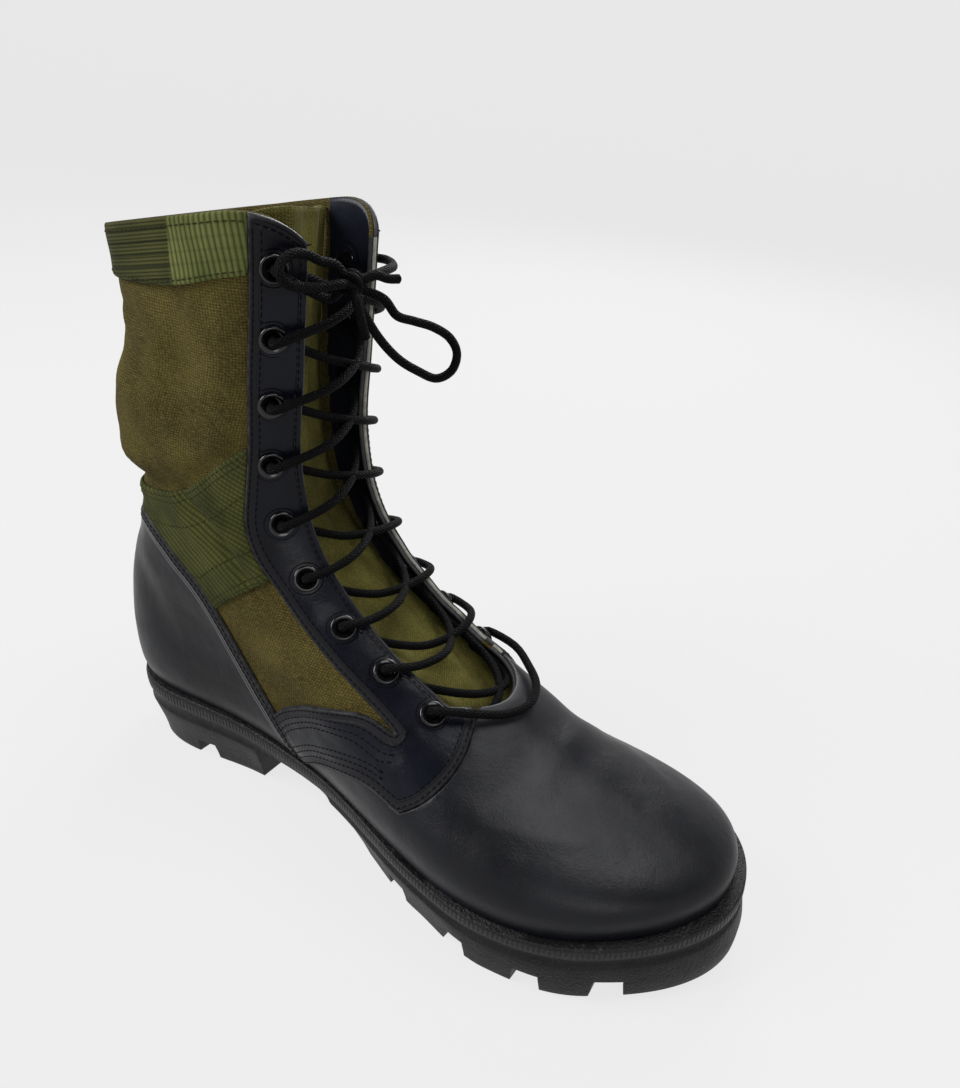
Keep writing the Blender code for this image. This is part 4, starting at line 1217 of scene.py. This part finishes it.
def runTree(name, host, tree, settings, materials, nodes=()):
    holder = bpy.data.objects.new(name + "Guide", host)
    scene.collection.objects.link(holder)
    step = holder.modifiers.new("nodes", "NODES")
    step.node_group = tree
    for item in tree.interface.items_tree:
        if item.in_out == "INPUT" and item.name in settings:
            step[item.identifier] = settings[item.name]
    ready = holder.evaluated_get(bpy.context.evaluated_depsgraph_get())
    mesh = bpy.data.meshes.new_from_object(ready)
    bpy.data.objects.remove(holder)
    mesh.materials.clear()
    return keep(name, mesh, materials, nodes)


def seamLines(values, faces, name, level, wanted):
    # where a level of a field runs over the piece, as chains of points
    depth = values[:, field[name]] - level
    depth = np.where(depth == 0, 1e-9, depth)
    crossing, links = {}, {}
    for face in faces:
        cut = []
        for a, b in zip(face, face[1:] + face[:1]):
            if depth[a] * depth[b] < 0:
                key = (min(a, b), max(a, b))
                if key not in crossing:
                    w = depth[key[0]] / (depth[key[0]] - depth[key[1]])
                    crossing[key] = values[key[0]] * (1 - w) + values[key[1]] * w
                cut.append(key)
        if len(cut) == 2:
            links.setdefault(cut[0], []).append(cut[1])
            links.setdefault(cut[1], []).append(cut[0])
    good = {key for key, row in crossing.items() if wanted(row)}
    chains, seen = [], set()
    starts = (
        [k for k in links if k in good and sum(o in good for o in links[k]) == 1]
        + [k for k in links if k in good]
    )
    for start in starts:
        if start in seen:
            continue
        chain, here = [], start
        while here is not None:
            seen.add(here)
            chain.append(crossing[here])
            here = next((o for o in links[here] if o in good and o not in seen), None)
        if len(chain) > 3:
            chains.append(np.array(chain))
    return chains


def threadRuns(chains, height):
    points, edges = [], []
    for chain in chains:
        lift = relief(chain) + height
        places = chain[:, :3] + unit(chain[:, 3:6]) * lift[:, None]
        edges += [(len(points) + i, len(points) + i + 1) for i in range(len(places) - 1)]
        points += places.tolist()
    return points, edges


def share(row):
    return (row[0] + last["heelToOrigin"]) / last["soleLength"]


def rise(row):
    return row[2] / last["collarHeight"]


# a seam keeps this far from the rim, from a facing's border, and from any edge of a tape
seamClear = {"rim": 0.0034, "border": 0.003, "edge": 0.001}


def offRim(row):
    return all(row[field[name]] > seamClear["rim"] for name in ("throat", "top"))


def offBorder(row, name="border"):
    return row[field[name]] > seamClear["border"]


def offEdge(row):
    return row[field["edge"]] > seamClear["edge"]


stitchSize = {"Pitch": 0.0028, "Length": 0.0023, "Thickness": 0.00062}
# how high a thread lies over the last on each kind of piece
threadHeight = {"facing": 0.0025, "counter": 0.0019, "collar": 0.0018, "ankle": 0.0016}
# piece, field and its levels, where the seam runs, and the kind of piece
seams = {
    "threadDark": (darkThread, (
        *((piece, "border", (0.0016, 0.0046), offRim, "facing") for piece in ("facingOuter", "facingInner")),
        *((piece, "throat", (0.0026,), offBorder, "facing") for piece in ("facingOuter", "facingInner")),
        ("facingOuter", "top", (0.0030,), lambda row: offBorder(row) and offBorder(row, "throat"), "facing"),
        (
            "facingOuter", "border", (0.0072, 0.0098), lambda row: rise(row) < 0.28 and share(row) < 0.56,
            "facing",
        ),
        ("facingInner", "border", (0.0072,), lambda row: rise(row) < 0.28 and share(row) < 0.50, "facing"),
        ("counterLeather", "border", (0.0016, 0.0040), lambda row: True, "counter"),
    )),
    "threadOlive": (oliveThread, (
        ("collarTape", "border", (0.0018,), offEdge, "collar"),
        ("collarTape", "top", (0.0030,), offEdge, "collar"),
        ("ankleTape", "border", (0.0016, 0.0040, 0.0150), offEdge, "ankle"),
    )),
}
tree = stitchTree()
for name, (material, rows) in seams.items():
    points, edges = [], []
    for piece, title, levels, wanted, kind in rows:
        values, faces = laid[piece]
        for level in levels:
            more, pairs = threadRuns(seamLines(values, faces, title, level, wanted), threadHeight[kind])
            edges += [(a + len(points), b + len(points)) for a, b in pairs]
            points += more
    mesh = bpy.data.meshes.new(name)
    mesh.from_pydata(points, edges, [])
    runTree(name, mesh, tree, dict(stitchSize, Material=material), [material])
print("stitches laid")


# eyelets: a rolled rim and a barrel, turned once and stood on every hole by Geometry Nodes
eyeletSize = {"bore": 0.0025, "barrel": 0.0030, "rim": 0.0054, "roll": 0.00075, "steps": 28}


def eyeletMesh(size):
    depth = last["gap"] + laceSize["facing"] + laceSize["seat"] + laceSize["wall"]
    rim, roll, bore = size["rim"], size["roll"], size["bore"]
    profile = [
        (rim - roll + roll * math.cos(a), roll * 1.25 * math.sin(a)) for a in np.linspace(-0.9, 1.9, 8)
    ]
    profile += [(bore + 0.0011, roll * 0.75), (bore + 0.0004, roll * 0.35), (bore, -0.0003), (bore, -depth)]
    profile += [(bore + 0.0005, -depth), (size["barrel"], -0.0012)]
    points, faces, count = [], [], len(profile)
    for i in range(size["steps"]):
        a = 2 * math.pi * i / size["steps"]
        points += [(r * math.cos(a), r * math.sin(a), z) for r, z in profile]
        here, there = i * count, (i + 1) % size["steps"] * count
        faces += [
            (here + k, there + k, there + (k + 1) % count, here + (k + 1) % count) for k in range(count)
        ]
    return closedMesh("eyelet", points, faces)


def standTree():
    tree, given = newTree("eyelets", (("Piece", "NodeSocketObject"), ("Material", "NodeSocketMaterial")))
    piece = makeNode(tree, "GeometryNodeObjectInfo", None, {"Object": given["Piece"]}, "Geometry")
    facing = makeNode(
        tree, "GeometryNodeInputNamedAttribute", {"data_type": "FLOAT_VECTOR"}, {"Name": "facing"},
    )
    turn = makeNode(tree, "FunctionNodeAlignRotationToVector", {"axis": "Z"}, {"Vector": facing})
    stood = makeNode(
        tree, "GeometryNodeInstanceOnPoints", None,
        {"Points": given["Geometry"], "Instance": piece, "Rotation": turn},
    )
    closeTree(tree, stood, given["Material"])
    return tree


def makeEyelets():
    seat = last["gap"] + laceSize["facing"] + laceSize["seat"] - 0.0007
    places = np.concatenate([lifted(*spots[side], seat) for side in (-1, 1)])
    normals = np.concatenate([outward(*spots[side]) for side in (-1, 1)])
    host = bpy.data.meshes.new("eyeletSpots")
    host.from_pydata(places.tolist(), [], [])
    data = host.attributes.new("facing", "FLOAT_VECTOR", "POINT")
    data.data.foreach_set("vector", normals.reshape(-1))
    pattern = bpy.data.objects.new("eyeletPattern", eyeletMesh(eyeletSize))
    nodes = [
        f"eyelet_{flank}_{k}" for flank in ("lateral", "medial") for k in range(1, laceSize["count"] + 1)
    ]
    runTree(
        "eyeletRings", host, standTree(), {"Piece": pattern, "Material": ringEnamel}, [ringEnamel],
        nodes,
    )
    bpy.data.objects.remove(pattern)


makeEyelets()
print("eyelets set")


# tongue: a gusset behind the lace, with folds that run down it
tongue = {
    "rings": (4.10, 9.90), "leaves": 0.35, "bulge": 0.003, "seat": 0.0021, "thick": 0.0018, "rows": 120,
    "plan": (
        (1, 0.030, 0.0021), (1, 0.026, 0.0075), (-1, 0.002, 0.0100), (-1, 0.014, 0.0086),
        (-1, 0.026, 0.0070), (-1, 0.030, 0.0021),
    ),
    "chord": (0.25, 0.50, 0.75), "finer": 8, "pleat": 0.0013, "pleatTurn": 21, "sway": 2.2, "swayTurn": 7,
    "crease": 0.0009, "creaseTurn": 46, "creaseLean": 5, "ridge": 0.0012, "ridgeAt": 0.52, "ridgeWide": 0.05,
    "ridgeSway": 0.05, "ridgeTurn": 6,
}


def makeTongue(size):
    low, high = size["rings"]
    t = np.linspace(low, high, size["rows"] + 1)
    sink = np.minimum(1, (t - low) / size["leaves"])
    row = [
        lifted(t, fromEdge(t, flank, behind), -(size["seat"] + (depth - size["seat"]) * sink))
        for flank, behind, depth in size["plan"]
    ]
    bulges = [np.array((size["bulge"] * math.sin(math.pi * w), 0, 0)) for w in size["chord"]]
    chord = [row[1] + (row[2] - row[1]) * w + bulge for w, bulge in zip(size["chord"], bulges)]
    places = smooth(row[:2] + chord + row[2:], size["finer"]).transpose(1, 0, 2)
    across, down = np.gradient(places, axis=1), np.gradient(places, axis=0)
    normals = unit(np.cross(across, down))
    normals *= np.sign((normals * np.array((1.0, 0.0, 0.5))).sum(-1).mean())
    w = np.linspace(0, 1, places.shape[1])[None, :]
    h = ((t - low) / (high - low))[:, None]
    calm = np.clip(np.minimum(w, 1 - w) * 8 - 0.8, 0, 1) * np.clip(h * 8, 0, 1)
    pleats = size["pleat"] * np.sin(w * size["pleatTurn"] + size["sway"] * np.sin(h * size["swayTurn"]))
    fade = np.clip(1.1 - h * 1.6, 0.1, 1)
    creases = size["crease"] * np.sin(h * size["creaseTurn"] + size["creaseLean"] * w) * fade
    aside = w - size["ridgeAt"] - size["ridgeSway"] * np.sin(h * size["ridgeTurn"])
    lift = pleats + creases
    lift = lift + size["ridge"] * np.exp(-(aside / size["ridgeWide"]) ** 2)
    front = places + normals * (lift * calm)[..., None]
    rear = front - normals * size["thick"]
    wide, count = places.shape[1], places.shape[0] * places.shape[1]
    faces = []
    for i in range(size["rows"]):
        for j in range(wide - 1):
            a = i * wide + j
            faces.append((a, a + 1, a + 1 + wide, a + wide))
            faces.append((a + count, a + wide + count, a + 1 + wide + count, a + 1 + count))
    ring = [j for j in range(wide)] + [i * wide + wide - 1 for i in range(1, size["rows"] + 1)]
    ring += (
        [size["rows"] * wide + j for j in range(wide - 2, -1, -1)]
        + [i * wide for i in range(size["rows"] - 1, 0, -1)]
    )
    faces += [(a, a + count, b + count, b) for a, b in zip(ring, ring[1:] + ring[:1])]
    mesh = bpy.data.meshes.new("tongueCloth")
    mesh.from_pydata(np.vstack([front.reshape(-1, 3), rear.reshape(-1, 3)]).tolist(), [], faces)
    layer = mesh.uv_layers.new(name="cloth")
    arcs = np.cumsum(np.linalg.norm(across, axis=-1), axis=1)
    ups = np.cumsum(np.linalg.norm(down, axis=-1), axis=0)
    maps = np.stack([arcs.reshape(-1), ups.reshape(-1)], 1)
    index = np.array([i for face in faces for i in face]) % count
    layer.data.foreach_set("uv", maps[index].reshape(-1))
    faceOut(mesh)
    return keep("tongueCloth", mesh, [tongueCloth], ("tongue",))


makeTongue(tongue)
print("tongue made")


# sole: rings of the side wall, then the arch and the grooves between the lugs cut out
sole = {
    "ledge": 0.0060, "steps": 150, "breast": 0.088, "archEnd": 0.165, "archRise": 0.022, "lug": 0.009,
    "groove": 0.014, "channel": 0.010, "spring": 0.005,
}
edgeRows = (
    (0.00, 0.75, -0.70), (0.15, 0.80, -0.40), (0.28, 0.70, -0.70), (0.45, 0.50, -1.30), (0.62, 0.65, -0.40),
    (0.74, 0.80, 0.30), (0.86, 0.95, 0.80), (1.00, 1.20, 1.65),
)
# share of the wall's height, mix of ledge and tread edges, step outwards in shares of the ledge
wallRows = (
    (1.00, 0.00, -0.12), (0.985, 0.00, -0.03), (0.95, 0.00, 0.00), (0.87, 0.04, 0.02),
    (0.80, 0.08, 0.00), (0.785, 0.08, -0.05), (0.765, 0.09, -0.17), (0.75, 0.10, -0.20),
    (0.66, 0.16, -0.20), (0.64, 0.18, -0.16), (0.61, 0.23, -0.02), (0.59, 0.26, 0.02),
    (0.45, 0.50, 0.06), (0.28, 0.80, 0.12), (0.12, 0.95, 0.06), (0.03, 0.99, 0.02),
    (0.00, 1.00, -0.06),
)
grooveRows = ((0.176, 0.186), (0.564, 0.600), (0.683, 0.705), (0.792, 0.800), (0.897, 0.880))


def underside(x):
    return eased(x, ((along(0.74), 0.0), (along(1.03), sole["spring"])))


def footRing(steps):
    # the lowest ring of the last, and the level way outward at each of its points
    angles = np.pi * np.arange(-steps + 1, steps + 1) / steps
    base = ringPoint(0.0, angles)
    around = ringPoint(0.0, angles + normalStep) - ringPoint(0.0, angles - normalStep)
    ways = unit(np.stack([-around[:, 1], around[:, 0], np.zeros(len(angles))], 1))
    ways *= np.sign((ways[:, :2] * (base[:, :2] - base[:, :2].mean(0))).sum(1))[:, None]
    return base, ways


def stackFaces(steps, levels):
    # faces between the rings of a stack, and strips across its first and last ring
    count = 2 * steps
    faces = [
        (k * count + i, k * count + (i + 1) % count, (k + 1) * count + (i + 1) % count, (k + 1) * count + i)
        for k in range(levels - 1) for i in range(count)
    ]
    for start in (0, (levels - 1) * count):
        for i in range(steps):
            low, high = steps - 1 - i, steps - 1 + i
            row = (start + low, start + high, start + (high + 1) % count, start + (low - 1) % count)
            faces.append(tuple(dict.fromkeys(row)))
    return faces


def block(name, points, faces):
    made = bpy.data.objects.new(name, closedMesh(name, points, faces))
    scene.collection.objects.link(made)
    return made


def archBlock(size):
    breast, end, reach = size["breast"] - last["heelToOrigin"], size["archEnd"] - last["heelToOrigin"], 0.2
    profile = [(breast, -size["lug"]), (breast + 0.002, size["archRise"])]
    for f in np.linspace(0, 1, 16):
        profile.append(
            (breast + (end - breast) * (0.55 + 0.45 * f), size["archRise"] * (1 - f * f * (3 - 2 * f)))
        )
    profile.append((end + 0.002, -size["lug"]))
    count = len(profile)
    points = [(x, y, z) for y in (-reach, reach) for x, z in profile]
    faces = [tuple(range(count)), tuple(range(count, 2 * count))]
    faces += [(i, (i + 1) % count, count + (i + 1) % count, count + i) for i in range(count)]
    return block("archBlock", points, faces)


def grooveBlock(size):
    points, faces = [], []
    for edge, innerEnd in grooveRows:
        for side in (-1, 1):
            ends = ((along(innerEnd), spine(along(innerEnd)) + side * size["channel"] * 0.5),
                    (along(edge), spine(along(edge)) + side * last["ballWidth"]))
            floor, half, start = float(underside(along(edge))), size["groove"] / 2, len(points)
            for x, y in ends:
                corners = (
                    (-half, -size["lug"]), (half, -size["lug"]), (half * 0.7, floor + size["lug"]),
                    (-half * 0.7, floor + size["lug"]),
                )
                points += [(x + dx, y, z) for dx, z in corners]
            quads = ((0, 1, 2, 3), (4, 5, 6, 7), (0, 1, 5, 4), (1, 2, 6, 5), (2, 3, 7, 6), (3, 0, 4, 7))
            faces += [tuple(start + i for i in quad) for quad in quads]
    return block("grooveBlock", points, faces)


def makeSole(size):
    base, outFlat = footRing(size["steps"])
    top, foot = soleTop(base[:, 0]), underside(base[:, 0])
    shares = (base[:, 0] + last["heelToOrigin"]) / last["soleLength"]
    ledge = eased(shares, [row[:2] for row in edgeRows])
    tread = eased(shares, [(row[0], row[2]) for row in edgeRows])
    points = []
    for rise, mix, step in wallRows:
        ring = base + outFlat * (size["ledge"] * (ledge + (tread - ledge) * mix + step))[:, None]
        ring[:, 2] = foot + (top - foot) * rise
        points += ring.tolist()
    made = block("outsoleRubber", points, stackFaces(size["steps"], len(wallRows)))
    cutters = [archBlock(size), grooveBlock(size)]
    for cutter in cutters:
        step = made.modifiers.new("cut", "BOOLEAN")
        step.operation, step.solver, step.object = "DIFFERENCE", "EXACT", cutter
    soft = made.modifiers.new("soft", "BEVEL")
    soft.width, soft.segments, soft.angle_limit = 0.0007, 2, math.radians(40)
    mesh = bpy.data.meshes.new_from_object(made.evaluated_get(bpy.context.evaluated_depsgraph_get()))
    for old in [made, *cutters]:
        bpy.data.objects.remove(old)
    made = keep("outsoleRubber", mesh, [soleRubber], ("outsole",), smoothed=False)
    spread = np.array([vertex.co for vertex in mesh.vertices])
    ground, roof = underside(spread[:, 0]), soleTop(spread[:, 0])
    walked = np.cumsum(np.linalg.norm(base - np.roll(base, 1, axis=0), axis=1))
    nearest = np.array([np.argmin(((base[:, :2] - spot[:2]) ** 2).sum(1)) for spot in spread])
    for title, values in (("rise", (spread[:, 2] - ground) / (roof - ground)), ("arc", walked[nearest])):
        mesh.attributes.new(title, "FLOAT", "POINT").data.foreach_set("value", values)
    mesh.shade_smooth()
    mesh.set_sharp_from_angle(angle=math.radians(38))
    return made


makeSole(sole)
print("sole made")


def makeInsole():
    steps = 90
    rings = ((0.003, 0.0044), (0.0022, 0.0035), (0.0, 0.0035))
    base, outFlat = footRing(steps)
    points = []
    for height, inset in rings:
        ring = base - outFlat * inset
        ring[:, 2] = soleTop(ring[:, 0]) + last["gap"] + height
        points += ring.tolist()
    mesh = closedMesh("insoleBoard", points, stackFaces(steps, len(rings)))
    keep("insoleBoard", mesh, [insoleCloth], ("insole",))


makeInsole()
print("insole made")


# a pale floor that curves up far away, and soft studio light
studio = {
    "floor": 0.06, "glow": 0.765, "world": (0.86, 0.86, 0.87), "strength": 0.08, "reach": 3.0, "curve": 0.5,
    "wall": 1.7,
}
lamps = (
    ("key", (-0.75, -0.75, 1.05), 0.9, 24.0),
    ("top", (0.45, 0.25, 1.30), 0.8, 9.0),
    ("front", (0.95, -0.75, 0.80), 0.6, 4.0),
    ("back", (-0.25, 1.15, 0.95), 0.8, 17.0),
)


def makeStudio(size):
    profile = [(0.0, 0.0), (size["reach"] - size["curve"], 0.0)]
    profile += [
        (size["reach"] - size["curve"] * (1 - math.sin(a)), size["curve"] * (1 - math.cos(a)))
        for a in np.linspace(0.15, math.pi / 2, 10)
    ]
    profile.append((size["reach"], size["wall"]))
    steps, points, faces = 64, [(0.0, 0.0, 0.0)], []
    for r, z in profile[1:]:
        points += [
            (r * math.cos(2 * math.pi * k / steps), r * math.sin(2 * math.pi * k / steps), z)
            for k in range(steps)
        ]
    faces += [(0, 1 + k, 1 + (k + 1) % steps) for k in range(steps)]
    for i in range(len(profile) - 2):
        a = 1 + i * steps
        faces += [
            (a + k, a + steps + k, a + steps + (k + 1) % steps, a + (k + 1) % steps) for k in range(steps)
        ]
    mesh = bpy.data.meshes.new("floor")
    mesh.from_pydata(points, [], faces)
    mesh.shade_smooth()
    floor = bpy.data.objects.new("floor", mesh)
    scene.collection.objects.link(floor)
    paper = bpy.data.materials.new("paper")
    paper.use_nodes = True
    shader = paper.node_tree.nodes["Principled BSDF"]
    look = {
        "Base Color": (size["floor"],) * 3 + (1.0,), "Roughness": 1.0, "Specular IOR Level": 0.0,
        "Emission Color": (1.0, 1.0, 1.0, 1.0), "Emission Strength": size["glow"],
    }
    for title, value in look.items():
        shader.inputs[title].default_value = value
    mesh.materials.append(paper)
    world = bpy.data.worlds.new("studio")
    world.use_nodes = True
    back = world.node_tree.nodes["Background"]
    back.inputs["Color"].default_value = (*size["world"], 1.0)
    back.inputs["Strength"].default_value = size["strength"]
    scene.world = world
    for name, place, width, power in lamps:
        data = bpy.data.lights.new(name, "AREA")
        data.shape, data.size, data.energy = "DISK", width, power
        lamp = bpy.data.objects.new(name, data)
        lamp.location = place
        aim = Vector((0.1, 0.0, 0.1)) - Vector(place)
        lamp.rotation_mode = "QUATERNION"
        lamp.rotation_quaternion = aim.to_track_quat("-Z", "Y")
        scene.collection.objects.link(lamp)
    scene.view_settings.view_transform = "Standard"


makeStudio(studio)
print("studio lit")
